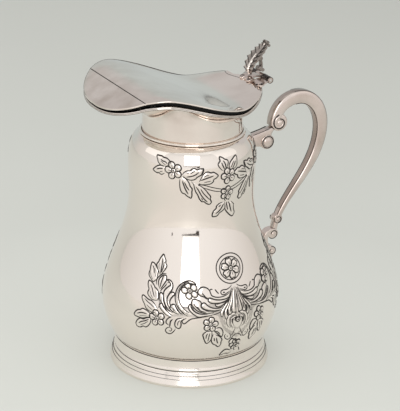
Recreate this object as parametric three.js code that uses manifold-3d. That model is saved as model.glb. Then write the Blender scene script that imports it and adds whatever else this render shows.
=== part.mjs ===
// An insulated table jug in silver: a pear-shaped double body that holds a glass vacuum flask, with a
// broad waved brim and lid, a scrolled handle and a leaf thumbpiece.
// Millimetres, +Z up. The origin is on the jug's axis at the surface that it stands on. The spout points
// to -X and the handle to +X, and the jug is symmetric about the XZ plane.
import * as THREE from 'three';
import { mergeVertices } from 'three/addons/utils/BufferGeometryUtils.js';
import Module from 'manifold-3d';

const wasm = await Module();
wasm.setup();

// Clearances
const seatGap = 0.3; // between two pieces that touch
const roundSeatGap = 0.4; // where one of the two is round and drawn with flat sides
const pinGap = 0.3; // round the hinge pin
const sheetSeatGap = 0.9; // between the brim's curved sheet and the hinge plates on it
const beadSeatGap = 0.6; // between the rolled edge and those plates
const sealGap = 1; // between the lid's seal and the brim sheet
const linerGap = 0.6; // between the pouring liner and the neck
const spacerGap = 0.5; // between a spacer and each glass
const screwTipGap = 1.2; // between the stopper's screw and the lid

// Body shell
const bodyWall = 1.2;
const bellyRadius = 73.7;
const bellyHeight = 58;
const waistRadius = 51.5;
const waistHeight = 150;
const shoulderRadius = 52.3;
const shoulderHeight = 173;
const neckRadius = 41; // outside of the neck
const neckHeight = 200; // where the neck stands on the shoulder
const neckBeadRadius = 1.1;

// Foot
const footRadius = 67; // rim that stands on the table
const footHeight = 22.7;
const footTopRadius = 62.6; // upper moulding, just under the belly
const footStepHeight = 13.6; // shoulder of the spread skirt
const footStepRadius = 64;
const footGrooveRadius = 61; // crevice between skirt and upper moulding
const footBore = 60.4;

// Screwed base
const baseRecess = 1; // underside of the base cap above the table
const baseRingRecess = 2; // underside of the threaded ring
const baseCapRadius = 54;
const baseCapPlate = 2;
const baseCapRim = 10; // height of its threaded rim
const baseCapWall = 1.6;
const basePostRadius = 33; // ring that carries the flask's cushion
const basePostWall = 3;
const spannerHoleRadius = 2.5;
const spannerHoleSpacing = 38;
const baseRingHeight = 8;
const baseRingFlange = 2;
const baseRingWall = 1.8;

// Vacuum flask
const flaskRadius = 48;
const flaskBottom = 30;
const flaskDome = 28; // height of its round bottom
const flaskMouthDrop = 1; // top of the outer glass below the jug's neck joint
const flaskNeckLength = 11;
const flaskShoulderLength = 28;
const flaskNeckRadius = 30.5;
const glassWall = 1.8;
const vacuumGap = 4;
const flaskMouthGap = 1.5; // vacuum space in the narrow neck
const flaskLip = 1.5; // glass over the vacuum space at the mouth
const spacerRadius = 4;
const spacerCount = 3;
const spacerHeight = 110;
const cushionRadius = 36;
const cushionThickness = 7.7; // in its middle
const gasketHeight = 3;
const gasketWidth = 9;
const gasketOverhang = 0.5; // into the flask's mouth

// Pouring liner, from the flask's mouth to the neck
const linerWall = 1.2;
const linerRise = 8;

// Brim
const sheet = 1.2;
const brimReachFront = 87.5; // spout lip from the jug's axis
const brimReachRear = 56;
const brimHalfWidth = 66.7;
const brimWidestAt = 20; // this far in front of the axis
const brimPinchAt = 20; // this far behind the axis
const brimPinchHalfWidth = 51.3;
const brimSquareness = 2.3; // exponent of the front outline, 2 is an ellipse
const flareHeight = 16;
const flareTurn = THREE.MathUtils.degToRad(65);
const brimBead = 1.3; // radius of the rolled edge

// Lid. Each rise is the height of its upper side above the neck joint
const lidSheet = 1.4;
const lidHingeEndRise = 40;
const lidDipAt = 20; // behind the axis
const lidDipRise = 30.3;
const lidCrestAt = 52; // in front of the axis
const lidCrestRise = 49.1;
const lidCreaseAt = 67; // in front of the axis
const lidCreaseRise = 46.5;
const lidLipRise = 35.2;
const brimCrescent = 9; // how far the brim shows behind the lid
const rimGapFront = 1.2; // between lid and rolled edge
const rimGapSide = 3.2;
const sealInset = 2.4;
const sealWidth = 3;

// Stopper under the lid
const stopperTopRadius = 33;
const stopperBottomRadius = 27;
const stopperDiscRadius = 30;
const stopperDiscHeight = 2;
const stopperScrewRadius = 1.6;
const stopperScrewHead = 4.5;
const stopperScrewHeadHeight = 1.6;

// Lid hinge
const hingeOut = 6; // its axis behind the brim
const hingeRise = 39; // its axis above the neck joint
const knuckleRadius = 2.6;
const pinRadius = 1.2;
const middleKnuckle = 11.4; // length
const outerKnuckle = 10.5;
const pinProud = 0.8;
const leafThickness = 1.8;
const leafNeck = 3; // plain stretch behind the lobes
const leafTaper = 0.6;
const lidLobeIn = 13; // in from the brim's rear
const lidLobeSide = 7.4;
const lidLobeRadius = 4;
const brimLobeIn = 5; // in from the brim's rear
const brimLobeSide = 19;
const brimLobeRadius = 3.3;

// Thumbpiece
const thumbIn = 4; // in from the brim's rear
const thumbSeatGap = 0.65; // its flat foot stands on a sloping leaf
const thumbRise = 26.6; // its tip above its foot
const thumbLean = 14.5; // tip behind the foot
const thumbWidth = 13;
const thumbThickness = 2.4;
const thumbScrollWidth = 5;
const thumbScrollThickness = 2.2;

// Handle: its places are measured from the volutes that it grows from
const handleStartBack = 3.4; // its upper end behind the upper volute
const handleStartDrop = 1.8;
const handleCrownOut = 22; // from the upper end
const handleCrownRise = 21.4;
const handleReachOut = 45.3;
const handleReachDrop = 7;
const handleEndOut = 1.9; // from the lower socket's volute
const handleEndRise = 3.6;
const handleEndLean = 5.1; // the lower end's tangent
const handleEndPull = 29.3;
const handleWidth = 10;
const handleEndWidth = 7.4;
const handleStartThickness = 10;
const handleCrownThickness = 12;
const handleEndThickness = 4.4;
const upperVoluteOut = 11; // from the bracket's volute
const upperVoluteRise = 15.4;
const upperVoluteRadius = 7.4;
const upperVoluteBoss = 4.6;
const bossProud = 0.8;
const lowerVoluteOut = 4.6; // from the lower socket's volute
const lowerVoluteRise = 12.5;
const lowerVoluteRadius = 4.3;
const lowerVoluteBoss = 2.6;

// Brackets between handle and body
const bracketWidth = 9;
const bracketVoluteStand = 14.4; // off its pad
const bracketVoluteDrop = 18.6; // below the neck joint
const bracketVoluteRadius = 5.6;
const bracketVoluteBoss = 4.4;
const bracketFootDrop = 17; // below the neck joint
const bracketFootLength = 12;
const padThickness = 1.2;
const upperPadLength = 19;
const upperPadWidth = 13;
const lowerPadDrop = 13.6; // its middle below the socket's volute
const lowerPadLength = 34;
const lowerPadWidth = 11;
const socketVoluteStand = 11.1; // off its pad
const socketVoluteHeight = 97.6;
const socketVoluteRadius = 4.6;
const socketVoluteBoss = 3.1;
const socketWidth = 8;
const socketLimb = 4.4;
const dropVoluteStand = 5.2; // off its pad
const dropVoluteDrop = 15.8; // below the socket's volute
const dropVoluteRadius = 4;
const dropVoluteBoss = 2.4;
const dropCrest = 1.4; // its top above the volute
const dropTail = 5; // its foot below the volute
const dropWidth = 7;

// Round pieces get these many sides
const bodySides = 44;
const ringSides = 36;
const flaskSides = 28;
const smallSides = 16;
const voluteSides = 24;

// Places that follow from these sizes
const lidRearEdge = brimReachRear - brimCrescent;
const lidHingeEndHeight = neckHeight + lidHingeEndRise;
const lidDipHeight = neckHeight + lidDipRise;
const lidCrestHeight = neckHeight + lidCrestRise;
const lidCreaseHeight = neckHeight + lidCreaseRise;
const lidLipHeight = neckHeight + lidLipRise;
const hingeAt = brimReachRear + hingeOut;
const hingeHeight = neckHeight + hingeRise;
const lidLobeAt = brimReachRear - lidLobeIn;
const brimLobeAt = brimReachRear - brimLobeIn;
const thumbBaseAt = brimReachRear - thumbIn;
const flaskMouth = neckHeight - flaskMouthDrop;
const flaskNeckStart = flaskMouth - flaskNeckLength;
const flaskShoulder = flaskNeckStart - flaskShoulderLength; // where the straight side ends

const v2 = (x, y) => new THREE.Vector2(x, y);
const v3 = (x, y, z) => new THREE.Vector3(x, y, z);

// Materials
const finish = (color, roughness, metalness, opacity = 1) =>
  new THREE.MeshStandardMaterial({ color, roughness, metalness, opacity, transparent: opacity < 1 });
const silver = () => finish(0xd8d2c8, 0.12, 1);
const castSilver = () => finish(0xc2b8aa, 0.25, 1);
const glass = () => finish(0xcfd6d8, 0.05, 0.2, 0.35);
const blackRubber = () => finish(0x0c0b0a, 0.7, 0);
const palePlastic = () => finish(0xe6e2d8, 0.45, 0);
const cork = () => finish(0xa9825a, 0.9, 0);
const steel = () => finish(0xb8b8b8, 0.3, 1);

// Mesh helpers
function signedVolume(geometry) {
  const p = geometry.getAttribute('position');
  const index = geometry.getIndex();
  const count = index ? index.count : p.count;
  const a = v3();
  const b = v3();
  const c = v3();
  let sum = 0;
  for (let i = 0; i < count; i += 3) {
    a.fromBufferAttribute(p, index ? index.getX(i) : i);
    b.fromBufferAttribute(p, index ? index.getX(i + 1) : i + 1);
    c.fromBufferAttribute(p, index ? index.getX(i + 2) : i + 2);
    sum += a.dot(b.cross(c));
  }
  return sum / 6;
}

function welded(geometry) {
  const clean = geometry.clone();
  clean.deleteAttribute('normal');
  clean.deleteAttribute('uv');
  const merged = mergeVertices(clean, 1e-4);
  const index = merged.getIndex();
  const kept = [];
  for (let i = 0; i < index.count; i += 3) {
    const [a, b, c] = [index.getX(i), index.getX(i + 1), index.getX(i + 2)];
    if (a !== b && b !== c && c !== a) kept.push(a, b, c);
  }
  merged.setIndex(kept);
  if (signedVolume(merged) < 0) {
    for (let i = 0; i < kept.length; i += 3) [kept[i + 1], kept[i + 2]] = [kept[i + 2], kept[i + 1]];
    merged.setIndex(kept);
  }
  return merged;
}

function toSolid(geometry) {
  const g = welded(geometry);
  return new wasm.Manifold(
    new wasm.Mesh({
      numProp: 3,
      vertProperties: Float32Array.from(g.getAttribute('position').array),
      triVerts: Uint32Array.from(g.getIndex().array),
    }),
  );
}

function fromSolid(solid) {
  const mesh = solid.getMesh();
  const g = new THREE.BufferGeometry();
  g.setAttribute('position', new THREE.BufferAttribute(Float32Array.from(mesh.vertProperties), 3));
  g.setIndex(Array.from(mesh.triVerts));
  return g;
}

function join(...parts) {
  return fromSolid(parts.map(toSolid).reduce((a, b) => a.add(b)));
}

function cut(part, ...tools) {
  return fromSolid(tools.map(toSolid).reduce((a, b) => a.subtract(b), toSolid(part)));
}

// A profile of [radius, height] points turned about the jug's axis
function turned(profile, sides) {
  const g = new THREE.LatheGeometry(profile.map(([r, z]) => v2(Math.max(r, 0), z)), sides);
  g.rotateX(Math.PI / 2);
  return welded(g);
}

const closed = (profile) => [...profile, profile[0]];

// Skin through a row of equal rings, with flat ends unless the row itself is a loop
function loft(rings, isLoop = false) {
  const n = rings[0].length;
  const positions = [];
  const index = [];
  rings.forEach((ring) => ring.forEach((p) => positions.push(p.x, p.y, p.z)));
  const rows = isLoop ? rings.length : rings.length - 1;
  for (let i = 0; i < rows; i += 1) {
    const j = (i + 1) % rings.length;
    for (let k = 0; k < n; k += 1) {
      const l = (k + 1) % n;
      index.push(i * n + k, j * n + k, j * n + l, i * n + k, j * n + l, i * n + l);
    }
  }
  if (!isLoop) {
    [0, rings.length - 1].forEach((row, end) => {
      const centre = positions.length / 3;
      const mid = rings[row].reduce((s, p) => s.add(p), v3(0, 0, 0)).divideScalar(n);
      positions.push(mid.x, mid.y, mid.z);
      for (let k = 0; k < n; k += 1) {
        const l = (k + 1) % n;
        const [a, b] = end ? [l, k] : [k, l];
        index.push(centre, row * n + a, row * n + b);
      }
    });
  }
  const g = new THREE.BufferGeometry();
  g.setAttribute('position', new THREE.BufferAttribute(new Float32Array(positions), 3));
  g.setIndex(index);
  return welded(g);
}

// A drum that lies across the jug, with its middle at y = 0
function crossDrum(x, z, radius, width, sides = smallSides, y = 0) {
  return new THREE.CylinderGeometry(radius, radius, width, sides).translate(x, y, z);
}

// A side view in X and Z drawn through the jug's middle plane and given a width
function crossPlate(shape, width) {
  const g = new THREE.ExtrudeGeometry(shape, { depth: width, bevelEnabled: false, curveSegments: 8 });
  return g.rotateX(Math.PI / 2).translate(0, width / 2, 0);
}

// A strap swept along a curve in the XZ plane; size(t) gives its [thickness, width]
function strap(curve, size, steps, corners = 12, squareness = 3) {
  const rings = [];
  for (let i = 0; i <= steps; i += 1) {
    const t = i / steps;
    const p = curve.getPoint(t);
    const d = curve.getTangent(t);
    const [thickness, width] = size(t);
    const ring = [];
    for (let k = 0; k < corners; k += 1) {
      const angle = (2 * Math.PI * (k + 0.5)) / corners;
      const c = Math.cos(angle);
      const s = Math.sin(angle);
      const u = (Math.sign(c) * Math.abs(c) ** (2 / squareness) * thickness) / 2;
      const w = (Math.sign(s) * Math.abs(s) ** (2 / squareness) * width) / 2;
      ring.push(v3(p.x - d.y * u, w, p.y + d.x * u));
    }
    rings.push(ring);
  }
  return loft(rings);
}

// Height of a curve drawn in [x, z] where it passes a given x
function heightAt(points, x) {
  for (let i = 1; i < points.length; i += 1) {
    const a = points[i - 1];
    const b = points[i];
    if ((a.x - x) * (b.x - x) <= 0 && a.x !== b.x) return a.y + ((x - a.x) / (b.x - a.x)) * (b.y - a.y);
  }
  const ends = [points[0], points[points.length - 1]];
  return ends.sort((a, b) => Math.abs(a.x - x) - Math.abs(b.x - x))[0].y;
}

// Body outline from the foot to the neck, as [radius, height]
const bellyCurve = new THREE.CurvePath();
bellyCurve.add(new THREE.CubicBezierCurve(
  v2(footTopRadius + 0.4, footHeight + seatGap),
  v2(bellyRadius - 5.2, footHeight + (bellyHeight - footHeight) * 0.24),
  v2(bellyRadius, bellyHeight - (bellyHeight - footHeight) * 0.37),
  v2(bellyRadius, bellyHeight),
));
bellyCurve.add(new THREE.CubicBezierCurve(
  v2(bellyRadius, bellyHeight),
  v2(bellyRadius, bellyHeight + (waistHeight - bellyHeight) * 0.29),
  v2(waistRadius, waistHeight - (waistHeight - bellyHeight) * 0.37),
  v2(waistRadius, waistHeight),
));
bellyCurve.add(new THREE.CubicBezierCurve(
  v2(waistRadius, waistHeight),
  v2(waistRadius, waistHeight + (shoulderHeight - waistHeight) * 0.35),
  v2(shoulderRadius, shoulderHeight - (shoulderHeight - waistHeight) * 0.35),
  v2(shoulderRadius, shoulderHeight),
));
bellyCurve.add(new THREE.CubicBezierCurve(
  v2(shoulderRadius, shoulderHeight),
  v2(shoulderRadius, shoulderHeight + (neckHeight - shoulderHeight) * 0.7),
  v2(shoulderRadius - (shoulderRadius - neckRadius) * 0.36, neckHeight),
  v2(neckRadius + 0.5, neckHeight),
));
const bellyPoints = bellyCurve.curves.flatMap((c, i) => c.getPoints([5, 7, 3, 6][i]).slice(i ? 1 : 0));
const bodyRadiusAt = (z) => heightAt(bellyPoints.map((p) => v2(p.y, p.x)), z);

// Places of the scrolls between handle and body, which stand off the body's side
const padFaceAt = (z) => bodyRadiusAt(z) + padThickness + 2 * roundSeatGap;
const bracketFootHeight = neckHeight - bracketFootDrop;
const bracketVoluteHeight = neckHeight - bracketVoluteDrop;
const bracketVoluteAt = padFaceAt(bracketVoluteHeight) + bracketVoluteStand;
const upperVoluteAt = bracketVoluteAt + upperVoluteOut;
const upperVoluteHeight = bracketVoluteHeight + upperVoluteRise;
const socketVoluteAt = padFaceAt(socketVoluteHeight) + socketVoluteStand;
const lowerVoluteAt = socketVoluteAt + lowerVoluteOut;
const lowerVoluteHeight = socketVoluteHeight + lowerVoluteRise;
const lowerPadHeight = socketVoluteHeight - lowerPadDrop;
const dropVoluteHeight = socketVoluteHeight - dropVoluteDrop;
const dropVoluteAt = padFaceAt(dropVoluteHeight) + dropVoluteStand;
const handleStartAt = upperVoluteAt - handleStartBack;
const handleStartHeight = upperVoluteHeight - handleStartDrop;
const handleCrownAt = handleStartAt + handleCrownOut;
const handleCrownHeight = handleStartHeight + handleCrownRise;
const handleReach = handleStartAt + handleReachOut;
const handleReachHeight = handleStartHeight - handleReachDrop;
const handleEndAt = socketVoluteAt + handleEndOut;
const handleEndHeight = socketVoluteHeight + handleEndRise;

const baseRingTop = baseRingRecess + baseRingHeight + baseRingFlange;
const skirtBottom = baseRingTop + seatGap;
const skirtRadius = footBore - seatGap;

function bodyShell() {
  const outer = bellyPoints.map((p) => [p.x, p.y]);
  const inner = outer.filter((_, i) => i % 2 === 0 || i > outer.length - 6)
    .map(([r, z]) => [r - bodyWall, z > neckHeight - bodyWall ? neckHeight - bodyWall : z])
    .filter(([r, z], i, all) => i === 0 || z > all[i - 1][1]);
  const mouth = neckRadius - sheet - roundSeatGap;
  return turned(closed([
    [skirtRadius - bodyWall, skirtBottom],
    [skirtRadius, skirtBottom],
    [skirtRadius, footHeight + seatGap],
    ...outer,
    [mouth, neckHeight],
    [mouth, neckHeight - bodyWall],
    ...inner.reverse().slice(0, -1),
    [skirtRadius - bodyWall, footHeight + seatGap + bodyWall],
  ]), bodySides);
}

function footRing() {
  const s = new THREE.Shape();
  const skirt = footRadius - footStepRadius;
  s.moveTo(footBore, 0);
  s.lineTo(footRadius - 0.4, 0);
  s.lineTo(footRadius, 0.6);
  s.lineTo(footRadius, 2);
  s.bezierCurveTo(footRadius - skirt * 0.6, footStepHeight * 0.42, footStepRadius + skirt * 0.25,
    footStepHeight * 0.7, footStepRadius, footStepHeight - 1);
  const groove = footGrooveRadius + 0.6;
  s.quadraticCurveTo(footStepRadius - 0.6, footStepHeight + 0.6, groove, footStepHeight - 0.6);
  s.lineTo(groove, footStepHeight + 0.5);
  s.bezierCurveTo(footTopRadius + 1.2, footStepHeight + 2, footTopRadius + 1.4, footHeight - 2,
    footTopRadius, footHeight);
  s.lineTo(footBore + 0.4, footHeight);
  s.lineTo(footBore, footHeight - 1);
  s.closePath();
  return turned(closed(s.getPoints(3).slice(0, -1).map((p) => [p.x, p.y])), bodySides);
}

function neckBead() {
  const r = neckRadius + seatGap + neckBeadRadius;
  const z = neckHeight + seatGap + neckBeadRadius;
  const profile = [];
  for (let k = 0; k < 6; k += 1) {
    const a = (Math.PI * k) / 3;
    profile.push([r + neckBeadRadius * Math.cos(a), z + neckBeadRadius * Math.sin(a)]);
  }
  return turned(closed(profile), ringSides);
}

// Brim outline seen from above: [x, y] points once round, from the spout's tip
function brimOutline(steps = 48) {
  const frontReach = brimReachFront - brimWidestAt;
  const half = [];
  const front = steps / 4 + 4;
  for (let i = 0; i < front; i += 1) {
    const a = (Math.PI / 2) * (i / front);
    const along = frontReach * Math.cos(a) ** (2 / brimSquareness);
    const across = brimHalfWidth * Math.sin(a) ** (2 / brimSquareness);
    half.push(v2(-brimWidestAt - along, across));
  }
  const pinch = new THREE.CubicBezierCurve(
    v2(-brimWidestAt, brimHalfWidth),
    v2(-brimWidestAt + (brimWidestAt + brimPinchAt) * 0.3, brimHalfWidth),
    v2(brimPinchAt - (brimWidestAt + brimPinchAt) * 0.3, brimPinchHalfWidth + 4.2),
    v2(brimPinchAt, brimPinchHalfWidth),
  );
  const rear = new THREE.CubicBezierCurve(
    v2(brimPinchAt, brimPinchHalfWidth),
    v2(brimPinchAt + (brimReachRear - brimPinchAt) * 0.39, brimPinchHalfWidth - 4.8),
    v2(brimReachRear, brimPinchHalfWidth * 0.58),
    v2(brimReachRear, 0),
  );
  half.push(...pinch.getPoints(steps / 16).slice(0, -1), ...rear.getPoints(steps / 8));
  const other = half.slice(1, -1).reverse().map((p) => v2(p.x, -p.y));
  return [...half, ...other];
}

const outline = brimOutline();
const halfOutline = outline.filter((p) => p.y >= 0).sort((a, b) => a.x - b.x);
const halfWidthAt = (x) => heightAt(halfOutline, x);

// The waved surface of the lid, straight from side to side: its upper height at each x
const waveCurve = new THREE.CurvePath();
waveCurve.add(new THREE.CubicBezierCurve(
  v2(brimReachRear, lidHingeEndHeight),
  v2(brimReachRear - (brimReachRear - lidDipAt) * 0.28, lidHingeEndHeight - 3.5),
  v2(lidDipAt + (brimReachRear - lidDipAt) * 0.28, lidDipHeight),
  v2(lidDipAt, lidDipHeight),
));
waveCurve.add(new THREE.CubicBezierCurve(
  v2(lidDipAt, lidDipHeight),
  v2(lidDipAt - (lidDipAt + lidCrestAt) * 0.22, lidDipHeight),
  v2(-lidCrestAt + (lidDipAt + lidCrestAt) * 0.25, lidCrestHeight),
  v2(-lidCrestAt, lidCrestHeight),
));
waveCurve.add(new THREE.CubicBezierCurve(
  v2(-lidCrestAt, lidCrestHeight),
  v2(-lidCrestAt - (lidCreaseAt - lidCrestAt) * 0.33, lidCrestHeight),
  v2(-lidCreaseAt + (lidCreaseAt - lidCrestAt) * 0.3, lidCreaseHeight + 1.4),
  v2(-lidCreaseAt, lidCreaseHeight),
));
waveCurve.add(new THREE.LineCurve(v2(-lidCreaseAt, lidCreaseHeight), v2(-brimReachFront, lidLipHeight)));
const wavePoints = waveCurve.curves.flatMap((c, i) => c.getPoints([8, 14, 4, 1][i]).slice(i ? 1 : 0));
const lidTopAt = (x) => heightAt(wavePoints, x);

// Space between the lid's underside and the rolled edge: narrow at the spout, wider along the sides
function rimGapAt(x) {
  const t = THREE.MathUtils.clamp((x + brimReachFront) / (brimReachFront + lidRearEdge), 0, 1);
  return rimGapFront + (rimGapSide - rimGapFront) * Math.sin(Math.PI * Math.sqrt(t) * 0.82) ** 2;
}
function brimEdgeAt(x) {
  const under = lidTopAt(x) - lidSheet - rimGapAt(Math.min(x, lidRearEdge)) - brimBead;
  const rear = THREE.MathUtils.smoothstep(x, lidRearEdge - 12, lidRearEdge);
  return under + rear * rimGapAt(lidRearEdge) * 0.25;
}

// Brim sheet between the neck and the rolled edge, at a point of the outline and a share s of the way out
function brimPoint(p, s, side) {
  const reach = p.length() - 2 * brimBead;
  const edge = brimEdgeAt(p.x);
  const a = Math.acos(1 - s * (1 - Math.cos(flareTurn)));
  const r = neckRadius + (reach - neckRadius) * s - side * sheet * Math.cos(a);
  const rise = (flareHeight * Math.sin(a)) / Math.sin(flareTurn);
  const z = edge - flareHeight + rise + side * sheet * Math.sin(a);
  return v3((p.x / p.length()) * r, (p.y / p.length()) * r, z);
}
const flareShares = [0, 0.04, 0.12, 0.27, 0.5, 0.75, 0.96];
function brimTopAt(x, y) {
  const here = v2(x, y);
  const nearest = outline.reduce((best, p) => (p.angleTo(here) < best.angleTo(here) ? p : best));
  const slope = flareShares.map((s) => brimPoint(nearest, s, 1)).map((p) => v2(Math.hypot(p.x, p.y), p.z));
  return heightAt(slope, here.length());
}

function brim() {
  const foot = neckHeight + seatGap;
  const rings = outline.map((p) => {
    const dir = p.clone().normalize();
    const at = (r, z) => v3(dir.x * r, dir.y * r, z);
    const outer = flareShares.map((s) => brimPoint(p, s, 0));
    const inner = flareShares.map((s) => brimPoint(p, s, 1)).reverse();
    const centre = p.length() - brimBead;
    const edge = brimEdgeAt(p.x);
    const bead = [];
    for (let k = 0; k < 7; k += 1) {
      const a = Math.PI * (-0.75 + k * 0.25);
      bead.push(at(centre + brimBead * Math.cos(a), edge + brimBead * Math.sin(a)));
    }
    return [at(neckRadius, foot), ...outer, ...bead, ...inner, at(neckRadius - sheet, foot)];
  });
  return loft(rings, true);
}

function lidPlate() {
  const xs = wavePoints.map((p) => p.x).filter((x) => x < lidRearEdge - 1 && x > -brimReachFront + 1);
  for (let i = 1; i < 9; i += 1) {
    xs.push(-lidCreaseAt - (brimReachFront - lidCreaseAt) * (1 - (1 - i / 9) ** 2));
  }
  xs.push(lidRearEdge, -brimReachFront + 0.15, -brimWidestAt + 6, -brimWidestAt + 12, brimPinchAt + 12);
  const stations = [...new Set(xs)].sort((a, b) => b - a);
  const rings = stations.map((x) => {
    const w = halfWidthAt(x);
    const z = lidTopAt(x);
    return [v3(x, -w, z), v3(x, w, z), v3(x, w, z - lidSheet), v3(x, -w, z - lidSheet)];
  });
  return loft(rings);
}

function lidSeal() {
  const centre = outline.reduce((s, p) => s.add(p), v2(0, 0)).divideScalar(outline.length);
  const inset = (p, d) => {
    const dir = p.clone().sub(centre);
    const q = centre.clone().addScaledVector(dir.clone().normalize(), dir.length() - d);
    return v2(Math.min(q.x, lidRearEdge - d), q.y);
  };
  const rings = outline.map((p) => {
    const outer = inset(p, sealInset);
    const inner = inset(p, sealInset + sealWidth);
    const top = (q) => lidTopAt(q.x) - lidSheet - seatGap;
    const bottom = (q) => brimTopAt(q.x, q.y) + sealGap;
    return [
      v3(outer.x, outer.y, top(outer)),
      v3(inner.x, inner.y, top(inner)),
      v3(inner.x, inner.y, bottom(inner)),
      v3(outer.x, outer.y, bottom(outer)),
    ];
  });
  return loft(rings, true);
}

// Vacuum flask: heights where its glass is seated
const lipHeight = flaskMouth + seatGap + flaskLip;
const gasketBottom = lipHeight + seatGap;
const linerBottom = gasketBottom + gasketHeight + seatGap;
const linerTop = linerBottom + linerWall;

// Half outline of a flask: round bottom, straight side, shoulder and neck, as [radius, height]
function flaskHalf(radius, bottom, inset, neck, mouth) {
  const dome = [];
  const domeTop = flaskBottom + flaskDome;
  for (let i = 0; i <= 4; i += 1) {
    const a = (Math.PI / 2) * (i / 4);
    dome.push([radius * Math.sin(a), domeTop - (domeTop - bottom) * Math.cos(a)]);
  }
  const shoulder = new THREE.CubicBezierCurve(
    v2(radius, flaskShoulder - inset),
    v2(radius, flaskShoulder + (flaskNeckStart - flaskShoulder) * 0.6),
    v2(neck, flaskNeckStart - (flaskNeckStart - flaskShoulder) * 0.3),
    v2(neck, flaskNeckStart),
  ).getPoints(4).map((p) => [p.x, p.y]);
  return [...dome, ...shoulder, [neck, mouth]];
}

function flaskOuter() {
  const outside = flaskHalf(flaskRadius, flaskBottom, 0, flaskNeckRadius, flaskMouth);
  const inside = flaskHalf(flaskRadius - glassWall, flaskBottom + glassWall, glassWall,
    flaskNeckRadius - glassWall, flaskMouth);
  return turned([...outside, ...inside.reverse()], flaskSides);
}

const innerGlassRadius = flaskRadius - glassWall - vacuumGap;
const innerNeckRadius = flaskNeckRadius - glassWall - flaskMouthGap;

function flaskInner() {
  const outside = flaskHalf(innerGlassRadius, flaskBottom + glassWall + vacuumGap, glassWall + vacuumGap,
    innerNeckRadius, flaskMouth + seatGap);
  const inside = flaskHalf(innerGlassRadius - glassWall, flaskBottom + 2 * glassWall + vacuumGap,
    2 * glassWall + vacuumGap, innerNeckRadius - glassWall, lipHeight);
  return turned([...outside, [flaskNeckRadius, flaskMouth + seatGap], [flaskNeckRadius, lipHeight],
    ...inside.reverse()], flaskSides);
}

// A round pad that keeps the two glasses apart
function spacer(i) {
  const depth = vacuumGap - 2 * spacerGap;
  const angle = (2 * Math.PI * i) / spacerCount;
  const g = new THREE.CylinderGeometry(spacerRadius, spacerRadius, depth, 12);
  const middle = innerGlassRadius * Math.cos(Math.PI / flaskSides) / 2 + (flaskRadius - glassWall) / 2;
  return g.rotateZ(Math.PI / 2).translate(middle, 0, spacerHeight).rotateZ(angle);
}

// The base cap's post reaches up to the cushion under the flask
const postHeight = flaskBottom - cushionThickness - baseRecess - baseCapPlate - 2 * seatGap;

function flaskCushion() {
  const top = [];
  for (let i = 0; i <= 4; i += 1) {
    const r = (cushionRadius * i) / 4;
    const z = flaskBottom + flaskDome * (1 - Math.sqrt(1 - (r / flaskRadius) ** 2)) - 2 * roundSeatGap;
    top.push([r, z]);
  }
  const bottom = baseRecess + baseCapPlate + postHeight + seatGap;
  return turned([[0, bottom], [cushionRadius, bottom], ...top.reverse()], ringSides);
}

function baseCap() {
  const top = baseRecess + baseCapPlate;
  const body = turned([
    [0, baseRecess],
    [baseCapRadius, baseRecess],
    [baseCapRadius, baseRecess + baseCapRim],
    [baseCapRadius - baseCapWall, baseRecess + baseCapRim],
    [baseCapRadius - baseCapWall, top],
    [basePostRadius, top],
    [basePostRadius, top + postHeight],
    [basePostRadius - basePostWall, top + postHeight],
    [basePostRadius - basePostWall, top],
    [0, top],
  ], ringSides);
  const r = spannerHoleRadius;
  const hole = (y) => new THREE.CylinderGeometry(r, r, baseCapPlate * 4, smallSides)
    .rotateX(Math.PI / 2).translate(0, y, baseRecess + baseCapPlate / 2);
  return cut(body, hole(spannerHoleSpacing / 2), hole(-spannerHoleSpacing / 2));
}

function baseRing() {
  const inner = baseCapRadius + seatGap;
  const bottom = baseRingRecess;
  const top = baseRingTop;
  return turned(closed([
    [inner, bottom],
    [inner + baseRingWall, bottom],
    [inner + baseRingWall, top - baseRingFlange],
    [footBore - seatGap, top - baseRingFlange],
    [footBore - seatGap, top],
    [inner, top],
  ]), ringSides);
}

function flaskGasket() {
  const inner = innerNeckRadius - glassWall - gasketOverhang;
  return turned(closed([
    [inner, gasketBottom],
    [inner + gasketWidth, gasketBottom],
    [inner + gasketWidth, gasketBottom + gasketHeight],
    [inner, gasketBottom + gasketHeight],
  ]), flaskSides);
}

function pouringLiner() {
  const inner = innerNeckRadius - glassWall;
  const outer = neckRadius - sheet - linerGap;
  const shelf = inner + gasketWidth;
  return turned(closed([
    [inner, linerBottom],
    [shelf, linerBottom],
    [outer, linerBottom + linerRise],
    [outer, linerBottom + linerRise + linerWall],
    [outer - linerWall * 0.6, linerBottom + linerRise + linerWall],
    [shelf - linerWall * 0.4, linerTop],
    [inner, linerTop],
  ]), flaskSides);
}

// Stopper that hangs under the lid and closes the flask's mouth
const discBottom = linerTop + seatGap;
const plugBottom = discBottom + stopperDiscHeight + seatGap;
const screwBore = stopperScrewRadius + seatGap;

function stopperDisc() {
  return turned(closed([
    [screwBore, discBottom],
    [stopperDiscRadius, discBottom],
    [stopperDiscRadius, discBottom + stopperDiscHeight],
    [screwBore, discBottom + stopperDiscHeight],
  ]), flaskSides);
}

function stopperPlug() {
  const rings = [];
  for (let k = 0; k < flaskSides; k += 1) {
    const a = (2 * Math.PI * k) / flaskSides;
    const at = (r, z) => v3(r * Math.cos(a), r * Math.sin(a), z);
    const top = (r) => lidTopAt(r * Math.cos(a)) - lidSheet - seatGap;
    const radii = [0.35, 0.7, 1].map((s) => screwBore + (stopperTopRadius - screwBore) * s);
    rings.push([
      at(screwBore, plugBottom),
      at(stopperBottomRadius, plugBottom),
      ...radii.reverse().map((r) => at(r, top(r) - seatGap)),
      at(screwBore, top(screwBore) - seatGap),
    ]);
  }
  return loft(rings, true);
}

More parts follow.
